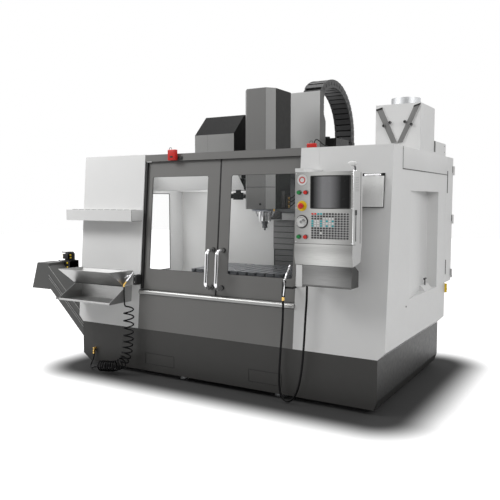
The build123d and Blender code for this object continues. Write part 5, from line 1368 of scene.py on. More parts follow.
@dataclass
class WorkArea:
    """Small parts inside the enclosure: rivets, lamps, head fittings and tools."""

    bench: Bench
    wall: float = 1575.0
    spindle_y: float = 904.0
    fitting_heights: tuple[float, ...] = (1445.0, 1480.0, 1515.0)
    cover_side: float = 155.0
    pots: int = 20
    pot_circle: float = 308.0
    changer_axis: Span = (1350.0, 1955.0)
    table_x: Span = (-599.0, 773.0)
    table_y: Span = (587.0, 1222.0)
    slots: int = 15
    band_loop: Span = (1949.0, 2185.0)
    band_radius: float = 496.0
    brass_union: Profile = ((0, 0), (13.5, 0), (14.4, 1.5), (14.4, 9), (13.2, 10.5), (9.6, 10.5), (9.6, 14),
                            (7, 15), (0, 15))
    cover_port: Profile = ((0, -6), (8.8, -6), (8.8, 0), (10.5, 0.6), (10.5, 1.6), (8, 2), (7, -3), (0, -3))
    pipe_union: Profile = ((0, 0), (9, 0), (9, 9), (6, 10), (6, 20), (0, 20))
    ring_sleeve: Profile = ((112, -8.6), (118.8, -8.6), (119.6, -7), (119.6, 7), (118.8, 8.6), (112, 8.6),
                            (112, -8.6))
    nozzle_sleeve: Profile = ((4.4, -10), (6.6, -10), (6.6, 4), (5.4, 6), (5.4, 26), (3.6, 34), (2.2, 34),
                              (2.2, 26), (4.4, -10))
    mill_body: Profile = ((0, 0), (29.6, 0), (29.6, 20), (26, 30), (26, 58), (29.4, 60), (29.4, 68.5),
                          (12, 69), (0, 66))
    mill_inserts: Profile = ((26.2, 0), (29.9, 1), (29.9, 5), (26.2, 6), (26.2, 0))
    chuck_body: Profile = ((0, 0), (20.5, 0), (20.5, 30), (16, 42), (16, 46), (8, 47), (8, 52.5), (0, 52.5))
    drill_body: Profile = ((0, 0), (12.4, 0), (12.4, 26), (9, 30), (6, 31), (6, 70), (0, 78.5))
    drill_collar: Profile = ((12, 0), (14, 1), (14, 7), (12, 8), (12, 0))
    hole_shade_cup: Profile = ((0, -14), (12.8, -14), (12.8, 0), (11.4, 0.2), (11, -9), (6, -10), (0, -10))

    def rivets(self) -> None:
        """Rivets the liner's rear corners and hangs a work lamp at each side."""
        b = self.bench
        first = b.screw((-1425, self.wall, 795), FRONT, 5.5, "grey_enamel")
        places = [(x, 0, 181.0 * i) for x in (0, 2850) for i in range(5)]
        parts = [first] + b.copies(first, places[1:])
        for x in (-1180, -980, 560, 760, 960):
            parts += b.copies(first, [(x + 1425, -60, 850)])
        b.fit("liner_rivets", parts, Body.FRAME, "steel")
        for side, x in (("left", -1380), ("right", 1380)):
            y = (300, 900)
            lamp = [b.block((x - 18, x + 18), y, (1846, 1870), "galvanised", 4),
                    b.block((x - 13, x + 13), (y[0] + 8, y[1] - 8), (1839, 1849), "lamp_cover", 4, 3)]
            b.fit(f"{side}_work_lamp", lamp, Body.FRAME, "steel")

    def head_fittings(self) -> None:
        """Puts the valve block, the brass unions and the coolant tips on the head."""
        b, side = self.bench, self.cover_side
        parts = [b.block((side - 0.5, side + 15), (998, 1087), (1428, 1542), "black_plastic", 3),
                 b.block((side - 0.5, side + 7), (925, 990), (1432, 1580), "charcoal_enamel", 2)]
        hexagon = b.turned((side + 14, 1040, self.fitting_heights[0]), RIGHT, self.brass_union, "brass", 6,
                           20)
        rises = [(0, 0, z - self.fitting_heights[0]) for z in self.fitting_heights[1:]]
        parts += [hexagon] + b.copies(hexagon, rises)
        for z in self.fitting_heights:
            parts.append(b.tube([(side + 22, 1040, z), (side + 40, 1048, z + 2), (side + 46, 1080, z + 16),
                                 (side + 30, 1180, z + 46), (side + 12, 1300, z + 70),
                                 (side + 5, 1420, z + 84), (side + 5, 1499, z + 86)], 11, "black_rubber"))
        for turn in (-1, 1):
            slant = [(turn * 97, 745, 1613), (turn * 155, 820, 1613), (turn * 155, 820, 1617),
                     (turn * 97, 745, 1617)]
            parts += [b.sheet(slant, (turn * 0.6, -0.5, 0), "black_rubber", 0),
                      b.block(sorted((turn * 154.6, turn * 155.7)), (820, 1000), (1613, 1617), "black_rubber",
                              0)]
        parts.append(b.block((-97, 97), (744.3, 745.4), (1613, 1617), "black_rubber", 0))
        port = b.turned((42, 744.4, 1463), FRONT, self.cover_port, "black_rubber")
        union = b.turned((118, self.spindle_y - 40, 1419), DOWN, self.pipe_union, "brass", 6, 20)
        pipe = b.tube([(118, self.spindle_y - 40, 1402), (112, self.spindle_y - 42, 1385),
                       (96, self.spindle_y - 36, 1366), (80, self.spindle_y - 28, 1350)], 5, "chrome_plate")
        b.fit("head_fittings", parts + [port, union, pipe], Body.HEAD, "black_plastic")

    def coolant_tips(self) -> None:
        """Sleeves the eight coolant nozzles and their ring in bright metal."""
        b = self.bench
        parts = [b.turned((0, self.spindle_y, 1408), UP, self.ring_sleeve, "ground_steel", 48)]
        for i in range(8):
            turn = math.radians(45 * i + 10)
            out = (math.cos(turn), math.sin(turn))
            place = (82.9 * out[0], self.spindle_y + 82.9 * out[1], 1386)
            axis = (-18 * out[0], -18 * out[1], -56)
            parts.append(b.turned(place, axis, self.nozzle_sleeve, "chrome_plate", 16))
        b.fit("coolant_tips", parts, Body.HEAD, "steel")

    def tool_ends(self) -> None:
        """Dresses the carousel's tools: cutters, drills and face mills in turn."""
        b = self.bench
        cy, cz = self.changer_axis
        kinds = [
            b.join("mill", [b.turned((-800, 0, 0), LEFT, self.mill_body, "tool_steel", 24),
                            b.turned((-857, 0, 0), LEFT, self.mill_inserts, "yellow_enamel", 12, 20)]),
            b.join("chuck", [b.turned((-800, 0, 0), LEFT, self.chuck_body, "chrome_plate", 24)]),
            b.join("drill", [b.turned((-800, 0, 0), LEFT, self.drill_body, "tool_steel", 20),
                             b.turned((-822, 0, 0), LEFT, self.drill_collar, "yellow_enamel", 20)]),
        ]
        parts = []
        for i in range(self.pots):
            turn = 2 * math.pi * i / self.pots
            place = (0, cy + self.pot_circle * math.cos(turn), cz + self.pot_circle * math.sin(turn))
            parts += b.copies(kinds[i % len(kinds)], [place])
        for kind in kinds:
            bpy.data.objects.remove(kind)
        b.fit("carousel_tools", parts, Body.CAROUSEL, "steel")

    def table_hole_shade(self) -> None:
        """Paints the shade inside the bolt holes in the table's front edge with black cups."""
        b = self.bench
        pitch = (self.table_x[1] - self.table_x[0]) / self.slots
        # painted shade: black cups inside the holes
        shade_cup = b.turned((self.table_x[0] + pitch / 2, self.table_y[0] + 0.4, 813), FRONT, self.hole_shade_cup,
                        "black_rubber", 24)
        parts = [shade_cup] + b.copies(shade_cup, [(pitch * i, 0, 0) for i in range(1, self.slots)])
        b.fit("table_edge_plugs", parts, Body.TABLE, "black_plastic")

    def changer_guard(self) -> None:
        """Hangs the white sheet that keeps chips off the changer."""
        b = self.bench
        parts = [b.block((-1446.8, -366), (930, 933), (1594, 1880), "white_enamel", 0.8),
                 b.block((-1446.8, -366), (930, 946), (1594, 1597), "white_enamel", 0.8)]
        edge = [(-366, 1594), (-184, 1594), (-184, 1616), (-246, 1728), (-366, 1880)]
        parts += [b.sheet([(x, 838, z) for x, z in edge], (0, -3, 0), "white_enamel", 0.8),
                  b.block((-368, -365), (835, 933), (1594, 1880), "white_enamel", 0.8)]
        b.fit("changer_guard", parts, Body.FRAME, "white_paint")

    def leaf_joint_shadows(self) -> None:
        """Shadows the joints of the column's leaves and closes the slots beside them."""
        b = self.bench
        # painted shadow: black strips along the moving leaves' joints
        line = b.block((-261, 261), (1558.2, 1560.4), (1051, 1057.6), "black_plastic", 0.5)
        parts = [line] + b.copies(line, [(0, 0, 60.0 * i) for i in range(1, 4)])
        parts += [b.block(x, (1498.6, 1502.4), (1304, 1397), "black_plastic", 1)
                  for x in ((-266, -141), (141, 266))]
        b.fit("moving_leaf_joints", parts, Body.HEAD, "charcoal_paint")
        # painted shadow: black strips along the fixed leaves' joints
        line = b.block((-261, 261), (1584.2, 1586.4), (691, 697.6), "black_plastic", 0.5)
        parts = [line] + b.copies(line, [(0, 0, 60.0 * i) for i in range(1, 6)])
        parts += [b.block(x, (1645, 1648), (643, 1004), "charcoal_enamel", 0.5)
                  for x in ((-312, -250), (250, 290))]
        b.fit("fixed_leaf_joints", parts, Body.FRAME, "charcoal_paint")

    def carrier_cables(self) -> None:
        """Lays the black cable band through the carrier's links."""
        y, z = self.band_loop
        radius, front, half = self.band_radius, 1630.0, 17.0
        bend_y, bend_r = 1790.0, 160.0
        bend_z = z + math.sqrt((radius - bend_r) ** 2 - (y - bend_y) ** 2)
        meet = math.atan2(bend_z - z, bend_y - y)
        edges = []
        for grow in (half, -half):
            edge = [(front - grow, 2180.0), (front - grow, bend_z)]
            edge += [(bend_y + (bend_r + grow) * math.cos(a), bend_z + (bend_r + grow) * math.sin(a))
                     for a in [math.pi + (meet - math.pi) * i / 12 for i in range(1, 13)]]
            edge += [(y + (radius + grow) * math.cos(a), z + (radius + grow) * math.sin(a))
                     for a in [meet * (1 - i / 30) for i in range(1, 31)]]
            edge.append((y + radius + grow, 2070.0))
            edges.append(edge)
        outline = [(58.0, *point) for point in edges[0] + edges[1][::-1]]
        band = self.bench.sheet(outline, (159, 0, 0), "black_rubber", 0)
        self.bench.fit("carrier_cables", [band], Body.CARRIER, "black_plastic")

    def build(self) -> None:
        """Makes every small part of the work area."""
        self.changer_guard()
        self.leaf_joint_shadows()
        self.carrier_cables()
        self.rivets()
        self.head_fittings()
        self.coolant_tips()
        self.tool_ends()
        self.table_hole_shade()


# Pendant


class KeyColour(Enum):
    """Colours of the pendant's keys, each with its letter in the key map."""

    ORANGE = "O"
    TEAL = "T"
    BLACK = "K"
    GREY = "G"
    WHITE = "W"


@dataclass
class Pendant:
    """Control pendant: face, keys, buttons, dials, lamp and bin."""

    bench: Bench
    face: float = -200.0
    case_x: Span = (861.0, 1288.0)
    screen_x: Span = (981.0, 1265.0)
    screen_z: Span = (1444.0, 1661.0)
    keys_x: Span = (984.0, 1262.0)
    keys_z: Span = (1235.0, 1414.0)
    key_map: tuple[str, ...] = ("OOTTKKKKGGGGG", "GGGGKKKKGGGGG", "GGGGWWWWGGGGG", "TWWTWTWTGGGGG",
                                "TWWTWWWWGGGGG", "TWWTWTWTGGGGG", "KKKKGGGGGGGGG", "KKKKGGGGGGGGG",
                                "GGKWGGGGGGGGG", "KKKKGGGGGGGGG", "KKGKGGGGGGGGG")
    buttons: tuple[tuple[float, float], ...] = ((893, 1551), (943, 1551), (893, 1247), (943, 1247))
    stop: Span = (915.0, 1459.0)
    wheel: Span = (915.0, 1351.0)
    badge: Span = (916.0, 1636.0)
    bin_x: Span = (915.0, 1278.0)
    bin_y: Span = (-188.0, -60.0)
    bin_floor: float = 905.0
    button_collar: Profile = ((14, 0), (16.8, 0), (16.8, 2), (15.6, 3.6), (14, 3.6), (14, 0))
    stop_ring: Profile = ((14.5, 0), (36, 0), (36, 1.6), (34, 3), (14.5, 3), (14.5, 0))
    wheel_ring: Profile = ((8, 0), (46, 0), (46, 2), (43, 3), (41, 3), (39.8, 2), (8, 2), (8, 0))
    badge_disc: Profile = ((0, 0), (37, 0), (37, 1.8), (35, 3.2), (31, 3.2), (29, 2.2), (0, 2.2))
    badge_ring: Profile = ((16, 0), (23, 0), (23, 0.8), (16, 0.8), (16, 0))
    speaker_hole: Profile = ((0, 0), (2.3, 0), (2.3, 0.6), (0, 0.6))
    mushroom: Profile = ((7, -20), (7, 8), (12.5, 9), (13, 19), (19, 20), (21, 23), (20.6, 27), (17, 31.5),
                         (10, 33.6), (0, 34))
    dial_body: Profile = ((7, -20), (7, 3), (36, 3), (38.4, 5), (38.4, 17), (36, 19.6), (33, 19.6),
                          (30, 15.5), (15, 15), (13, 19), (0, 19.4))
    dial_knob: Profile = ((4, 0), (4.4, 3), (7.6, 6), (7.8, 15), (6, 20), (0, 21.6))
    dial_hub: Profile = ((0, 0), (9, 0), (8.4, 1.4), (0, 1.8))
    lamp_base: Profile = ((0, 0), (17, 0), (17, 3), (14, 6), (8.4, 7), (8.4, 11), (0, 11))
    lamp_cup: Profile = ((0, 0), (19, 0), (22, 3), (23, 12), (23, 22), (20, 27), (12, 28.4), (0, 28.4))
    lamp_lens: Profile = ((0, -1), (17, -1), (17, 0.4), (0, 0.6))

    def keys(self) -> None:
        """Makes the key field: a plate and keys in five colours."""
        b = self.bench
        step_x = (self.keys_x[1] - self.keys_x[0]) / len(self.key_map[0])
        step_z = (self.keys_z[1] - self.keys_z[0]) / len(self.key_map)
        corner = (self.keys_x[0] + step_x / 2, self.keys_z[1] - step_z / 2)
        parts = [b.block(self.keys_x, (self.face - 1.4, self.face + 0.5), self.keys_z, "key_field", 0.5)]
        for colour in KeyColour:
            places = [(c * step_x, 0, -r * step_z) for r, row in enumerate(self.key_map)
                      for c, letter in enumerate(row) if letter == colour.value]
            key = b.block((corner[0] - 7, corner[0] + 7), (self.face - 3.6, self.face - 0.5),
                          (corner[1] - 5.4, corner[1] + 5.4), colour.name.lower() + "_key", 1.2)
            parts += b.copies(key, places)
            bpy.data.objects.remove(key)
        b.fit("key_pad", parts, Body.PENDANT, "light_grey_paint", "pendant_keys")

    def face_fittings(self) -> None:
        """Frames the screen and rings the buttons, the stop and the wheel."""
        b, f = self.bench, self.face
        parts = [b.rim(self.screen_x, self.screen_z, 5, (-3, 3.5), (f - 4.4, f + 0.2), "black_plastic")]
        collar = b.turned((*self.buttons[0][:1], f, self.buttons[0][1]), FRONT, self.button_collar,
                          "tool_steel")
        x0, z0 = self.buttons[0]
        parts += [collar] + b.copies(collar, [(x - x0, 0, z - z0) for x, z in self.buttons[1:]])
        parts.append(b.turned((self.stop[0], f, self.stop[1]), FRONT, self.stop_ring, "yellow_enamel", 40))
        parts.append(b.turned((self.wheel[0], f, self.wheel[1]), FRONT, self.wheel_ring, "black_plastic", 48))
        parts.append(b.turned((self.badge[0], f, self.badge[1]), FRONT, self.badge_disc, "white_dial", 48))
        parts.append(b.turned((self.badge[0], f - 2.2, self.badge[1]), FRONT, self.badge_ring, "red_enamel",
                              48))
        for x in (self.case_x[0] + 9, self.case_x[1] - 9):
            parts += [b.screw((x, f, z), FRONT, 3.4) for z in (1212, 1445, 1680)]
        parts += [b.block((1045, 1106), (f - 1.6, f + 3), (1177, 1184), "black_plastic", 1.5),
                  b.block((self.case_x[0] + 1, self.case_x[1] - 1), (f - 0.7, f + 1), (1199.5, 1202.3),
                          "black_rubber", 0.3)]
        b.fit("pendant_fittings", parts, Body.PENDANT, "steel")

    def side_fittings(self) -> None:
        """Adds the dark slot, the speaker holes and the rear seam on the right side."""
        b, x = self.bench, self.case_x[1]
        parts = [b.block((x - 3.4, x + 0.8), (-157, -143), (1224, 1433), "black_rubber", 1.2),
                 b.block((x - 2, x + 2.4), (-166, -134), (1398, 1433), "black_plastic", 2),
                 b.block((x - 1, x + 0.7), (-198, -150), (1199.5, 1202.3), "black_rubber", 0.3),
                 b.block((x - 2, x + 1.6), (-70, -66), (1206, 1686), "charcoal_enamel", 0.5)]
        hole = b.turned((x, -160, 1560), RIGHT, self.speaker_hole, "grey_cable", 10)
        parts += [hole] + b.copies(hole, [(0, 11 * c, 11 * r) for c in range(6) for r in range(9) if c or r])
        parts += [b.screw((x, y, z), RIGHT, 3.6) for y in (-188, -48) for z in (1212, 1450, 1678)]
        b.fit("pendant_side_fittings", parts, Body.PENDANT, "black_plastic")

    def controls(self) -> None:
        """Makes the stop's mushroom and the jog wheel."""
        b, f = self.bench, self.face
        stop = b.turned((self.stop[0], f, self.stop[1]), FRONT, self.mushroom, "red_gloss", 40, 50)
        b.fit("stop_mushroom", [stop], Body.STOP, "red_plastic", "emergency_stop")
        wx, wz = self.wheel
        dial = b.turned((wx, f, wz), FRONT, self.dial_body, "white_dial", 60, 40)
        parts = [dial]
        notch = b.block((wx - 0.9, wx + 0.9), (f - 19.9, f - 17), (wz + 32.4, wz + 36.6), "black_key", 0.2)
        for i in range(40):
            parts.append(b.around(notch, (wx, f, wz), i * 9.0))
        bpy.data.objects.remove(notch)
        parts.append(b.turned((wx + 20, f - 14, wz + 12), FRONT, self.dial_knob, "grey_cable", 24, 50))
        parts.append(b.turned((wx, f - 19, wz), FRONT, self.dial_hub, "grey_cable", 32))
        b.fit("jog_wheel", parts, Body.WHEEL, "light_grey_paint", "jog_handwheel")

    def lamp(self) -> None:
        """Makes the bright lamp head on its bent neck."""
        b = self.bench
        x, y, z = 1264.0, -110.0, 1690.0
        parts = [b.turned((x, y, z), UP, self.lamp_base, "chrome_plate"),
                 b.tube([(x, y, z + 4), (x, y, z + 20), (x, y - 4, z + 32), (x - 2, y - 18, z + 40),
                         (x - 4, y - 42, z + 46)], 12.5, "tool_steel"),
                 b.turned((x - 3, y - 43, z + 37.6), UP, self.lamp_cup, "lamp_cover", 32, 50),
                 b.turned((x - 3, y - 43, z + 37.8), DOWN, self.lamp_lens, "lamp_cover"),
                 b.block((x - 31, x + 25), (y - 58, y - 28), (z + 42, z + 60), "lamp_cover", 5, 3),
                 b.bar((1286.4, -199.4, 1205), (1286.4, -199.4, 1696), 2.4, "stainless_bright", 0.6, 12)]
        b.fit("pendant_lamp", parts, Body.PENDANT, "steel", "beacon_lamp")

    def bin(self) -> None:
        """Edges the bin, plates its front and whitens the bracket beside it."""
        b = self.bench
        x, y, low = self.bin_x, self.bin_y, self.bin_floor
        parts = [b.block((x[0] + 1, x[1] - 1), (y[0] - 0.8, y[0] + 0.4), (low + 12, 1048), "bin_front", 0.3),
                 b.bar((x[0], y[0] + 1, low + 1), (x[1], y[0] + 1, low + 1), 2.2, "charcoal_enamel", 0.4, 12),
                 b.bar((x[0], y[1] - 1, 1013), (x[1], y[1] - 1, 1013), 2.2, "charcoal_enamel", 0.4, 12)]
        slot = b.block((x[0] + 14, x[0] + 17), (y[0] + 6, y[1] - 6), (low - 1.6, low + 3.4), "bin_steel", 0.4,
                       1)
        parts += [slot] + b.copies(slot, [(15.75 * i, 0, 0) for i in range(1, 22)])
        b.fit("bin_trim", parts, Body.PENDANT, "steel")
        bracket = b.block((865.2, 917), (y[0] - 2.8, y[0] + 44.8), (893.2, 1052.6), "white_enamel", 5, 3)
        b.fit("bin_bracket", [bracket], Body.PENDANT, "white_paint")

    def build(self) -> None:
        """Makes every piece of the pendant."""
        self.keys()
        self.face_fittings()
        self.side_fittings()
        self.controls()
        self.lamp()
        self.bin()


# Outside


@dataclass
class Outside:
    """What stands on and hangs from the enclosure: extractor, trays, guns, cabinet and auger."""

    bench: Bench
    extractor_x: Span = (1085.0, 1445.0)
    extractor_front: float = 780.0
    extractor_z: Span = (1884.0, 2250.0)
    extractor_middle: float = 985.0
    duct: float = 230.0
    tray_x: Span = (-1430.0, -833.0)
    tray_front: float = -252.0
    gun: Point = (-822.0, -85.0, 764.0)
    wash: Point = (690.0, -46.0, 764.0)
    hinges: tuple[float, ...] = (832.0, 1335.0, 1780.0)
    hinge: Span = (1457.0, 1872.0)
    side: float = 1450.0
    extractor_knob: Profile = ((0, 0), (9, 0), (9, 5), (12.6, 7), (13, 16), (11, 20.4), (0, 21))
    bin_knob: Profile = ((0, 0), (8, 0), (8, 12), (6.4, 14), (6.4, 36), (8, 39.4), (0, 40))
    grommet: Profile = ((19, -3), (23, -3), (23, 0), (26, 0.4), (26, 1.6), (22, 2.4), (19, 1.6), (19, -3))
    gun_swivel: Profile = ((0, 0), (7, 0), (8, 2), (8, 14), (6, 18), (0, 18))
    gun_grip: Profile = ((0, 0), (8, 0), (9.6, 4), (9.6, 18), (8, 22), (7, 30), (9, 40), (9, 44), (0, 44))
    gun_barrel: Profile = ((0, 0), (9, 0), (12.6, 5), (13, 30), (11, 46), (13, 60), (12.4, 74), (8, 79),
                           (0, 79))
    gun_tip: Profile = ((0, -2), (6.4, -2), (6, 10), (5, 30), (3.4, 39.6), (0, 39.6))
    wash_swivel: Profile = ((0, 0), (10, 0), (11, 2), (11, 24), (8, 30), (0, 30))
    wash_grip: Profile = ((0, 0), (10, 0), (13.6, 6), (14, 60), (12.6, 70), (14.8, 84), (15, 118),
                          (11, 127.5), (0, 127.5))
    wash_lance: Profile = ((0, 0), (10, 0), (10, 16), (7, 19), (6.4, 100), (7, 104), (7, 128), (4, 131.6),
                           (0, 131.6))
    wash_union: Profile = ((0, 0), (10, 0), (12, 2), (12, 12), (14.4, 13), (14.4, 24), (0, 24))
    door_latch: Profile = ((0, 0), (7, 0), (7, 1.4), (4, 2.4), (0, 1))
    switch_dial: Profile = ((0, 0), (8, 0), (8, 19), (25, 20), (28.6, 22), (28.6, 33), (26, 36), (0, 36))
    motor_body: Profile = ((0, 0), (50, 0), (50, 5), (44, 8), (44, 68), (40, 78), (26, 84), (0, 84.6))
    motor_fin: Profile = ((40, 0), (49, 0), (49, 2.4), (40, 2.4), (40, 0))
    cable_gland: Profile = ((0, 0), (9, 0), (9, 8), (6, 10), (6, 16), (0, 16))
    front_plug: Profile = ((0, -2), (9, -2), (9, 4), (6, 6), (0, 6))
    side_plug: Profile = ((0, -6), (8, -6), (8, 5), (0, 6))

    def extractor(self) -> None:
        """Dresses the mist extractor with its collar, straps and knobs."""
        b, front, z = self.bench, self.extractor_front, self.extractor_z
        cx = sum(self.extractor_x) / 2
        r = self.duct / 2
        parts = [b.turned((cx, self.extractor_middle, z[1]), UP,
                          ((r - 3, 0), (r + 5, 0), (r + 5, 3), (r + 1, 4), (r + 0.8, 60), (r + 1.2, 66),
                           (r - 3, 66.3), (r - 3, 0)), "duct_zinc", 64, 40)]
        for side in (-1, 1):
            top_x, foot_x = cx + side * 150 + (6 if side > 0 else 0), cx + side * 22
            crown, foot = z[1] - 18 + side * 6, z[0] + 63
            outline = [(top_x - 24, front - 8.2, z[1] - 24 + side * 6),
                       (top_x + 24, front - 8.2, z[1] - 12 + side * 6), (foot_x + 22, front - 8.2, z[0] + 66),
                       (foot_x - 22, front - 8.2, z[0] + 61)]
            parts.append(b.sheet(outline, (0, -2.6, 0), "strap_weave", 0.8))
            lean = (foot_x - top_x) / (foot - crown)
            cap = [(top_x - 27, front - 6, z[1] - 26 + side * 6),
                   (top_x + 26, front - 6, z[1] - 12.6 + side * 6),
                   (top_x + 26 - lean * 12, front - 6, z[1] - 26 + side * 6),
                   (top_x - 27 - lean * 12, front - 6, z[1] - 40 + side * 6)]
            parts.append(b.sheet(cap, (0, -6.6, 0), "black_plastic", 1))
            for reach, drop in ((110, 164), (60, 142)):
                parts.append(b.turned((cx + side * reach, front, z[1] - drop), FRONT, self.extractor_knob,
                                      "black_plastic", 20, 50))
        parts += [b.screw((cx, front, z[1] - 14), FRONT, 4)]
        parts += [b.screw((self.extractor_x[1], y, h), RIGHT, 4) for y in (860, 1100)
                  for h in (z[0] + 24, z[1] - 90)]
        parts += [b.screw((self.extractor_x[1], 1540, z[0] + h), RIGHT, 5, "charcoal_enamel")
                  for h in (34, 84)]
        parts.append(b.block((self.extractor_x[1] - 1, self.extractor_x[1] + 1.4), (1189, 1235),
                             (z[0] + 14, z[0] + 104), "charcoal_enamel", 0.5))
        b.fit("extractor_fittings", parts, Body.FRAME, "steel")

    def trays(self) -> None:
        """Rolls the tray's edges and trims the bin under it."""
        b, x, f = self.bench, self.tray_x, self.tray_front
        back = AXES.face(885)
        rods = [((x[0], f, 896.6), (x[1], f, 896.6), 2.0),
                ((x[0], back - 2, 886.6), (x[1], back - 2, 886.6), 1.6),
                ((x[0], f, 633), (x[1], f, 633), 1.8), ((x[0], f + 0.5, 626.6), (x[1], f + 0.5, 626.6), 1.6)]
        for side in x:
            rods += [((side, f, 642), (side, -60, 750), 1.8), ((side, f, 896), (side, back - 2, 889), 1.8)]
        # the rolled edges are real; their light grey is a painted highlight
        parts = [b.bar(start, end, radius, "rib_edge", 0.4, 12) for start, end, radius in rods]
        parts.append(b.block((x[0] + 2, x[1] - 2), (-76, -70), (758.4, 763.6), "black_rubber", 1))
        parts.append(b.turned((x[0] - 2, f + 8, 634), LEFT, self.bin_knob, "grey_enamel", 20))
        b.fit("tray_trim", parts, Body.FRAME, "steel")

    def shelf(self) -> None:
        """Rings the tool shelf's holes and closes its ends."""
        b = self.bench
        ring = b.turned((-1481.5, 12, 1415), UP, self.grommet, "black_plastic", 28)
        parts = [ring] + b.copies(ring, [(77.0 * i, 0, 0) for i in range(1, 10)])
        b.fit("shelf_grommets", parts, Body.FRAME, "black_plastic")
        ends = []
        for x, push in ((-1520.2, 2), (-749.8, -2)):
            outline = [(x, -59, 1320), (x, AXES.face(1320), 1320), (x, AXES.face(1413), 1413), (x, -59, 1413)]
            ends.append(b.sheet(outline, (push, 0, 0), "white_enamel", 0.5))
        # painted shade: dark bars along the right end's bottom and front edges
        ends.append(b.bar((-748.6, -58, 1321), (-748.6, AXES.face(1320) - 1, 1321), 1.4, "charcoal_enamel",
                          0.2, 10))
        ends.append(b.bar((-748.6, -58, 1321), (-748.6, -58, 1411), 1.4, "charcoal_enamel", 0.2, 10))
        b.fit("shelf_ends", ends, Body.FRAME, "white_paint")

    def clipboard(self) -> None:
        """Makes the clipboard's chrome clip and its black ends, and a black plate behind it that paints its
        shadow at the edges.
        """
        b = self.bench
        parts = [b.lean(b.block((1252, 1375), (-24, -6), (1655, 1681), "chrome_plate", 8, 3)),
                 b.lean(b.block((1240, 1256), (-18, -4), (1659, 1685), "black_plastic", 4)),
                 b.lean(b.block((1371, 1387), (-18, -4), (1659, 1685), "black_plastic", 4)),
                 # painted shadow: black plate showing past the clipboard's right and bottom edges
                 b.lean(b.block((1233, 1398), (-9, -0.4), (1447, 1686), "black_rubber", 1))]
        b.fit("clipboard_clip", parts, Body.FRAME, "steel")

    def air_gun(self) -> None:
        """Makes the chrome air gun in its black holder."""
        b = self.bench
        x, y, z = self.gun
        body, neck = (54, 0, 58), (30, 0, 32)
        parts = [b.turned((x, y, z - 2), UP, self.gun_swivel, "brass", 6, 20),
                 b.turned((x, y, z + 14), neck, self.gun_grip, "brass", 24),
                 b.turned((x + 30, y, z + 46), body, self.gun_barrel, "chrome_plate", 28, 50),
                 b.turned((x + 84, y, z + 104), (26, 0, 30), self.gun_tip, "chrome_plate", 20, 50),
                 b.tube([(x + 74, y - 6, z + 96), (x + 58, y - 13, z + 96), (x + 40, y - 15, z + 88),
                         (x + 24, y - 13, z + 76)], 7.5, "chrome_plate"),
                 b.lean(b.block((-768, -733), (-66, 0), (776, 862), "black_plastic", 6, 3))]
        parts += [b.lean(b.bar((-750, -67.4, h), (-750, -64, h), 4, "galvanised", 0.8, 12))
                  for h in (803, 846)]
        b.fit("air_blow_gun", parts, Body.FRAME, "steel", "air_gun")

    def wash_gun(self) -> None:
        """Makes the wash-down gun in its holder at the doorway's right edge."""
        b = self.bench
        x, y, z = self.wash
        parts = [b.turned((x, y, z - 2), UP, self.wash_swivel, "brass", 6, 20),
                 b.turned((x, y, z + 24), (4, 8, 127), self.wash_grip, "black_plastic", 28, 50),
                 b.turned((x + 4, y + 8, 902), (36, 26, 124), self.wash_lance, "chrome_plate", 24, 45),
                 b.tube([(x + 12, y - 12, 912), (x + 22, y - 18, 896), (x + 21, y - 22, 866),
                         (x + 15, y - 20, 826), (x + 9, y - 12, 800)], 9, "chrome_plate"),
                 b.block((x - 3, x + 23), (y - 17, y + 9), (889, 906), "black_plastic", 4, 3)]
        edge = 759.0
        parts += [b.lean(b.block((x - 12, edge), (-70, -64), (850, 866), "black_plastic", 1.4)),
                  b.lean(b.block((edge - 6, edge), (-66, 0), (850, 866), "black_plastic", 1.4))]
        parts.append(b.turned((871, -20, 899), UP, self.wash_union, "brass", 6, 20))
        b.fit("wash_down_gun", parts, Body.FRAME, "black_plastic", "wash_gun")

    def cabinet(self) -> None:
        """Blackens the cabinet's hinges and slots, adds its latch, and vents its back with slots and a fan
        grille.
        """
        b = self.bench
        hx, hy = self.hinge
        parts = []
        for h in self.hinges:
            parts.append(b.block((1449.6, hx - 2), (1842, hy + 4), (h - 30, h + 30), "black_plastic", 2))
        for low, high in ((1563, 1759), (831, 961)):
            parts.append(b.block((1446.4, 1450.6), (1648, 1675), (low - 1, high + 1), "black_rubber", 0.8))
        parts.append(b.turned((self.side, 1806, 1502), RIGHT, self.door_latch, "galvanised", 20))
        b.fit("cabinet_door_fittings", parts, Body.CABINET_DOOR, "black_plastic")
        vent = b.block((900, 1360), (1862.6, 1865.4), (1000, 1006), "charcoal_enamel", 0.8)
        rows = [(0, 0, start + 14 * i) for start in (0, 620) for i in range(12)]
        parts = [vent] + b.copies(vent, rows[1:])
        fan = b.rim((1010, 1250), (1250, 1490), 20, (0, 12), (1862, 1870), "black_plastic")
        parts += [fan] + [b.ring((1130, 1867, 1370), BACK, 18 + 22 * i, 3, "galvanised") for i in range(5)]
        b.fit("cabinet_back_vents", parts, Body.FRAME, "black_plastic")

    def disconnect(self) -> None:
        """Makes the red handle over its yellow plate."""
        b = self.bench
        x, y, z = 1413.0, 1643.0, 694.0
        plate = [b.block((x - 32, x + 58), (y + 3, y + 5.6), (z - 28, z + 54), "yellow_enamel", 2)]
        plate += [b.screw((x + dx, y + 5.6, z + dz), BACK, 3.6) for dx in (-26, 52) for dz in (-22, 48)]
        b.fit("disconnect_plate", plate, Body.FRAME, "orange_plastic")
        grip = [b.turned((x, y - 12, z), BACK, self.switch_dial, "red_gloss", 40),
                b.block((x - 9, x + 9), (y + 22, y + 42), (z - 32, z + 32), "red_gloss", 5, 3),
                b.sheet([(x + 4, y + 24, z - 16), (x + 50, y + 24, z - 10), (x + 56, y + 24, z + 2),
                         (x + 50, y + 24, z + 10), (x + 4, y + 24, z + 10)], (0, 12, 0), "red_gloss", 2)]
        b.fit("disconnect_grip", grip, Body.SWITCH, "red_plastic", "disconnect_handle")

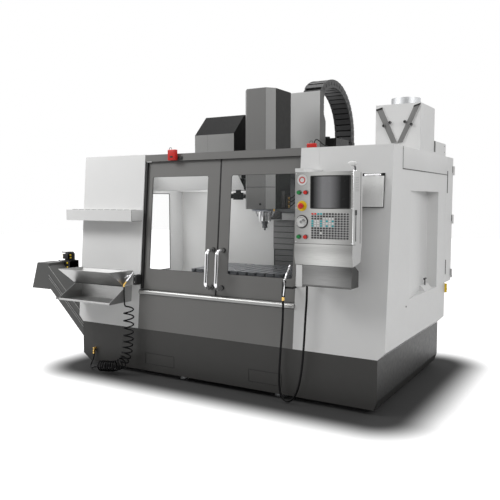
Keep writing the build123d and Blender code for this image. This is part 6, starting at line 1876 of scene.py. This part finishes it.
    def auger(self) -> None:
        """Adds light strips that paint highlights along the auger's ribs, and the motor's small parts."""
        b = self.bench
        slope, rise = 0.954, 150 * math.hypot(1, 0.954)

        def foot(x: float) -> float:
            """Gives the height of the trough's underside at x."""
            return 184 + slope * (-1400 - x)

        # painted highlight: light strips along the ribs on both faces of the trough
        parts = []
        for share, width in ((0.58, 5.0), (0.985, 4.0), (0.44, 3.0)):
            for y in (55.4, 243.4):
                line = [(x, y, foot(x) + rise * share) for x in (-1904, -1452)]
                outline = [line[0], line[1], (line[1][0], y, line[1][2] - width),
                           (line[0][0], y, line[0][2] - width)]
                parts.append(b.sheet(outline, (0, 1.4, 0), "rib_edge", 0.3))
        b.fit("auger_ribs", parts, Body.FRAME, "steel")
        x, y, z = -1892.0, 319.0, 905.0
        parts = [b.turned((x, y, z), UP, self.motor_body, "black_enamel", 36),
                 b.block((x - 62, x + 54), (257, 381), (821, 905), "black_enamel", 6, 3),
                 b.block((x - 34, x + 34), (258, 288), (922, 972), "black_plastic", 4, 3)]
        fin = b.turned((x, y, z + 12), UP, self.motor_fin, "black_enamel", 36)
        parts += [fin] + b.copies(fin, [(0, 0, 6.5 * i) for i in range(1, 9)])
        gland = b.turned((x - 34, 273, 936), LEFT, self.cable_gland, "yellow_enamel", 6, 20)
        parts += [gland] + b.copies(gland, [(0, 0, 24)])
        parts += [b.turned((x + 30, 257.5, h), FRONT, self.front_plug, "yellow_enamel", 12, 20)
                  for h in (842, 884)]
        parts += [b.turned((x + 40, 288, h), (1, -0.4, 0), self.side_plug, "yellow_enamel", 12, 20)
                  for h in (934, 960)]
        parts.append(b.bar((x - 92, 300, 984), (x - 6, 300, 984), 5, "black_plastic", 1, 16))
        parts.append(b.bar((x - 130, 290, 900), (x - 60, 290, 888), 5, "black_plastic", 1, 16))
        b.fit("auger_motor", parts, Body.FRAME, "black_plastic")

    def build(self) -> None:
        """Makes every outside piece."""
        for make in (self.extractor, self.trays, self.shelf, self.clipboard, self.air_gun, self.wash_gun,
                     self.cabinet, self.disconnect, self.auger):
            make()


# Base and panels


@dataclass
class Panels:
    """Screws, seams and trims of the base and the outer sheet metal."""

    bench: Bench
    half: float = 1450.0
    elbow_mouth: Profile = ((0, -6), (8, -6), (8, 12), (11, 12.6), (11, 25), (0, 26.4))

    def screws(self) -> None:
        """Screws the base's hatches and the white panels' edges."""
        b = self.bench
        places = [((x, 0, z), FRONT) for x in (-655, -368, 378, 645) for z in (109, 185)]
        places += [((-self.half, y, z), LEFT) for y in (160, 1420, 1840) for z in (800, 1850)]
        parts = [b.screw(place, axis, 4, "charcoal_enamel") for place, axis in places]
        parts.append(b.screw((self.half, 474, 707), RIGHT, 8, "charcoal_enamel"))
        parts += [b.rim(x, (101, 193), 6, (-0.6, 1.2), (-0.8, 0.4), "black_rubber")
                  for x in ((-663, -360), (370, 653))]
        b.fit("panel_screws", parts, Body.FRAME, "steel")

    def side_window(self) -> None:
        """Frames the left side's window."""
        b = self.bench
        z, y = (752.0, 1569.0), (540.0, 1353.0)
        parts = []
        for low, high in (((y[0] - 3, z[0] - 3), (y[1] + 3, z[0] + 4)),
                          ((y[0] - 3, z[1] - 4), (y[1] + 3, z[1] + 3)),
                          ((y[0] - 3, z[0] - 3), (y[0] + 4, z[1] + 3)),
                          ((y[1] - 4, z[0] - 3), (y[1] + 3, z[1] + 3))):
            parts.append(b.block((-1451.2, -1446.6), (low[0], high[0]), (low[1], high[1]), "black_rubber",
                                 0.8))
        b.fit("side_window_seal", parts, Body.FRAME, "black_plastic")

    def side_cover(self) -> None:
        """Fixes the plate over the right side, with the grooves at its two edges."""
        b = self.bench
        parts = [b.block((1449.6, 1452), (341, 1640), (1728, 1883), "white_enamel", 0.6),
                 b.block((1449.6, 1450.6), (333, 341), (1720, 1883), "charcoal_enamel", 0.3),
                 b.block((1449.6, 1450.6), (333, 1640), (1720, 1728), "charcoal_enamel", 0.3)]
        b.fit("side_cover", parts, Body.FRAME, "white_paint")

    def sill_joint(self) -> None:
        """Adds the sill's dark joint line."""
        line = self.bench.lean(self.bench.block((-744, 746), (24, 60), (731.5, 735.2), "black_rubber", 0.5))
        self.bench.fit("sill_joint", [line], Body.FRAME, "black_plastic")

    def air_elbow(self) -> None:
        """Screws the hose's brass elbow to the base."""
        b, x, y = self.bench, -1244.0, -26.0
        nut = ((0, 0), (10.5, 0), (11.6, 1.4), (11.6, 15), (10.5, 16), (0, 16))
        parts = [b.turned((x, y, 118), UP, nut, "brass", 6, 20),
                 b.turned((x, y, 138), UP, nut, "brass", 6, 20),
                 b.bar((x, y, 116), (x, y, 172), 7.6, "brass"),
                 b.ring((x, y, 168), RIGHT, 4, 11, "brass", 20),
                 b.turned((x, y, 166), BACK, self.elbow_mouth, "brass", 6, 20)]
        b.fit("air_elbow", parts, Body.FRAME, "steel")

    def build(self) -> None:
        """Makes the screws and trims."""
        self.screws()
        self.side_window()
        self.side_cover()
        self.sill_joint()
        self.air_elbow()


# Studio


@dataclass(frozen=True)
class Lamp:
    """A large soft lamp: place and target in the frame's metres, size in metres, watts."""

    name: str
    place: Point
    target: Point
    size: Span
    power: float

    def hang(self) -> None:
        """Adds the lamp, unseen by the camera."""
        data = bpy.data.lights.new(self.name, "AREA")
        data.shape = "RECTANGLE"
        data.size, data.size_y = self.size
        data.energy = self.power
        obj = bpy.data.objects.new(self.name, data)
        obj.location = self.place
        towards = Vector(self.target) - Vector(self.place)
        obj.rotation_euler = towards.to_track_quat("-Z", "Y").to_euler()
        obj.visible_camera = False
        bpy.context.scene.collection.objects.link(obj)


@dataclass
class Studio:
    """Pale floor, soft lamps and the camera at the photograph's place."""

    eye: Point = (2813.8, -4089.5, 1496.7)
    azimuth: float = 30.763
    pitch: float = 4.526
    lens: float = 45.07
    sensor: float = 36.0
    floor_size: float = 40.0
    # painted shadow round the machine's footprint: the floor's colour goes from near_shade to far_shade, and
    # its glow from none to full, over shadow_reach
    near_shade: float = 0.03
    far_shade: float = 0.5
    shadow_reach: Span = (0.17, 0.62)
    footprint: Span = (1330.0, 813.0)
    footprint_x: float = 50.0
    dark_side: Point = (0.49, -0.86, 0.12)
    dark_edge: Span = (0.76, 0.9)
    dark_level: float = 0.03
    sky: float = 0.36
    lamps: tuple[Lamp, ...] = (
        Lamp("key", (-3.4, -4.6, 5.2), (-0.4, -0.4, 1.3), (3, 2.4), 168),
        Lamp("fill", (6.0, -2.5, 4.2), (0.4, 0.2, 1.4), (3, 3), 110),
        Lamp("top", (0.3, 0.4, 6.0), (0, 0, 0), (5, 5), 150),
        Lamp("left", (-1.9, -2.7, 3.1), (-0.8, -1.1, 1.85), (1.2, 0.6), 15),
        Lamp("work", tuple(AXES.at(-880, 960, 1500)), tuple(AXES.at(-840, 1575, 1050)), (0.9, 0.4), 4),
    )

    def camera(self) -> None:
        """Places the camera and makes it the scene's."""
        data = bpy.data.cameras.new("camera")
        data.lens = self.lens
        data.sensor_width = self.sensor
        data.sensor_fit = "HORIZONTAL"
        data.clip_end = 200
        obj = bpy.data.objects.new("camera", data)
        obj.location = AXES.at(*self.eye)
        obj.rotation_euler = (math.radians(90 - self.pitch), 0, math.radians(self.azimuth))
        bpy.context.scene.collection.objects.link(obj)
        bpy.context.scene.camera = obj

    def _away(self, coat: Coat) -> Socket:
        """Gives how far a point of the floor lies outside the machine's footprint.

        Args:
            coat: the floor's coat.

        Returns:
            The distance in metres.
        """
        vector = coat.add("TexCoord").outputs["Object"]
        middle = AXES.at(self.footprint_x, self.footprint[1], 0)
        half = Vector(self.footprint).to_3d() * MM
        for operation, value in (("SUBTRACT", middle), ("ABSOLUTE", Vector()), ("SUBTRACT", half),
                                 ("MAXIMUM", Vector())):
            step = coat.add("VectorMath", operation=operation)
            step.inputs[1].default_value = value
            coat.join(vector, step.inputs[0])
            vector = step.outputs["Vector"]
        reach = coat.add("VectorMath", operation="LENGTH")
        coat.join(vector, reach.inputs[0])
        return reach.outputs["Value"]

    def floor(self) -> None:
        """Lays the pale floor, which keeps the machine's soft shadow, with a painted shadow added near the
        footprint: dark and without glow.
        """
        bpy.ops.mesh.primitive_plane_add(size=self.floor_size, location=(0, 0, 0))
        plane = bpy.context.active_object
        plane.name = "floor"
        coat = Coat("floor_paper")
        # painted shadow: colour and glow fade in with distance from the footprint
        painted_shadow_fade = coat.ranged(self._away(coat), self.shadow_reach, kind="SMOOTHSTEP")
        shade = coat.tint(painted_shadow_fade, (self.near_shade,) * 3, (self.far_shade,) * 3)
        coat.set(Roughness=0.9, Base_Color=shade)
        glow = coat.add("Emission", Color=(1, 1, 1, 1))
        coat.join(painted_shadow_fade, glow.inputs["Strength"])
        path = coat.add("LightPath")
        seen = path.outputs["Is Camera Ray"]
        for other in ("Is Glossy Ray", "Is Transmission Ray"):
            seen = coat.math("MAXIMUM", seen, path.outputs[other])
        total = coat.add("AddShader")
        choice = coat.add("MixShader")
        paper = coat.shader.outputs[0]
        for source, target in ((paper, total.inputs[0]), (glow.outputs[0], total.inputs[1]),
                               (seen, choice.inputs[0]), (paper, choice.inputs[1]),
                               (total.outputs[0], choice.inputs[2]),
                               (choice.outputs[0], coat.tree.nodes["Material Output"].inputs["Surface"])):
            coat.join(source, target)
        plane.data.materials.append(coat.material)

    def world(self) -> None:
        """Makes the surroundings: white to the camera and to metal, softer for the light.

        Polished metal also finds a dark band in front of the machine, as a studio's open
        side gives, so that it reads as metal on white.
        """
        world = bpy.data.worlds.new("surroundings")
        world.use_nodes = True
        nodes = Nodes(world.node_tree)
        background = nodes.tree.nodes["Background"]
        background.inputs["Color"].default_value = (1, 1, 1, 1)
        path = nodes.add("LightPath")
        seen = nodes.math("MAXIMUM", path.outputs["Is Camera Ray"], path.outputs["Is Transmission Ray"])
        spot = nodes.add("VectorMath", operation="DOT_PRODUCT")
        spot.inputs[1].default_value = self.dark_side
        nodes.join(nodes.add("TexCoord").outputs["Generated"], spot.inputs[0])
        band = nodes.ranged(spot.outputs["Value"], self.dark_edge, (1.0, self.dark_level))
        glossy = nodes.add("Mix")
        glossy.inputs[2].default_value = self.sky
        nodes.join(path.outputs["Is Glossy Ray"], glossy.inputs[0])
        nodes.join(band, glossy.inputs[3])
        level = nodes.add("Mix")
        level.inputs[3].default_value = 1.0
        nodes.join(seen, level.inputs[0])
        nodes.join(glossy.outputs[0], level.inputs[2])
        nodes.join(level.outputs[0], background.inputs["Strength"])
        bpy.context.scene.world = world

    def build(self) -> None:
        """Sets the whole studio up."""
        bpy.context.scene.view_settings.view_transform = "Standard"
        self.camera()
        self.world()
        self.floor()
        for lamp in self.lamps:
            lamp.hang()


def main() -> None:
    """Builds the studio and dresses the machine."""
    logging.basicConfig(level=logging.INFO, format="%(message)s")
    Studio().build()
    finishes = Finishes()
    bench = Bench(finishes)
    Hoses(bench).build()
    dress_nodes(finishes)
    for assembly in (Doorway, WorkArea, Pendant, Outside, Panels):
        assembly(bench).build()


if __name__ == "__main__":
    main()
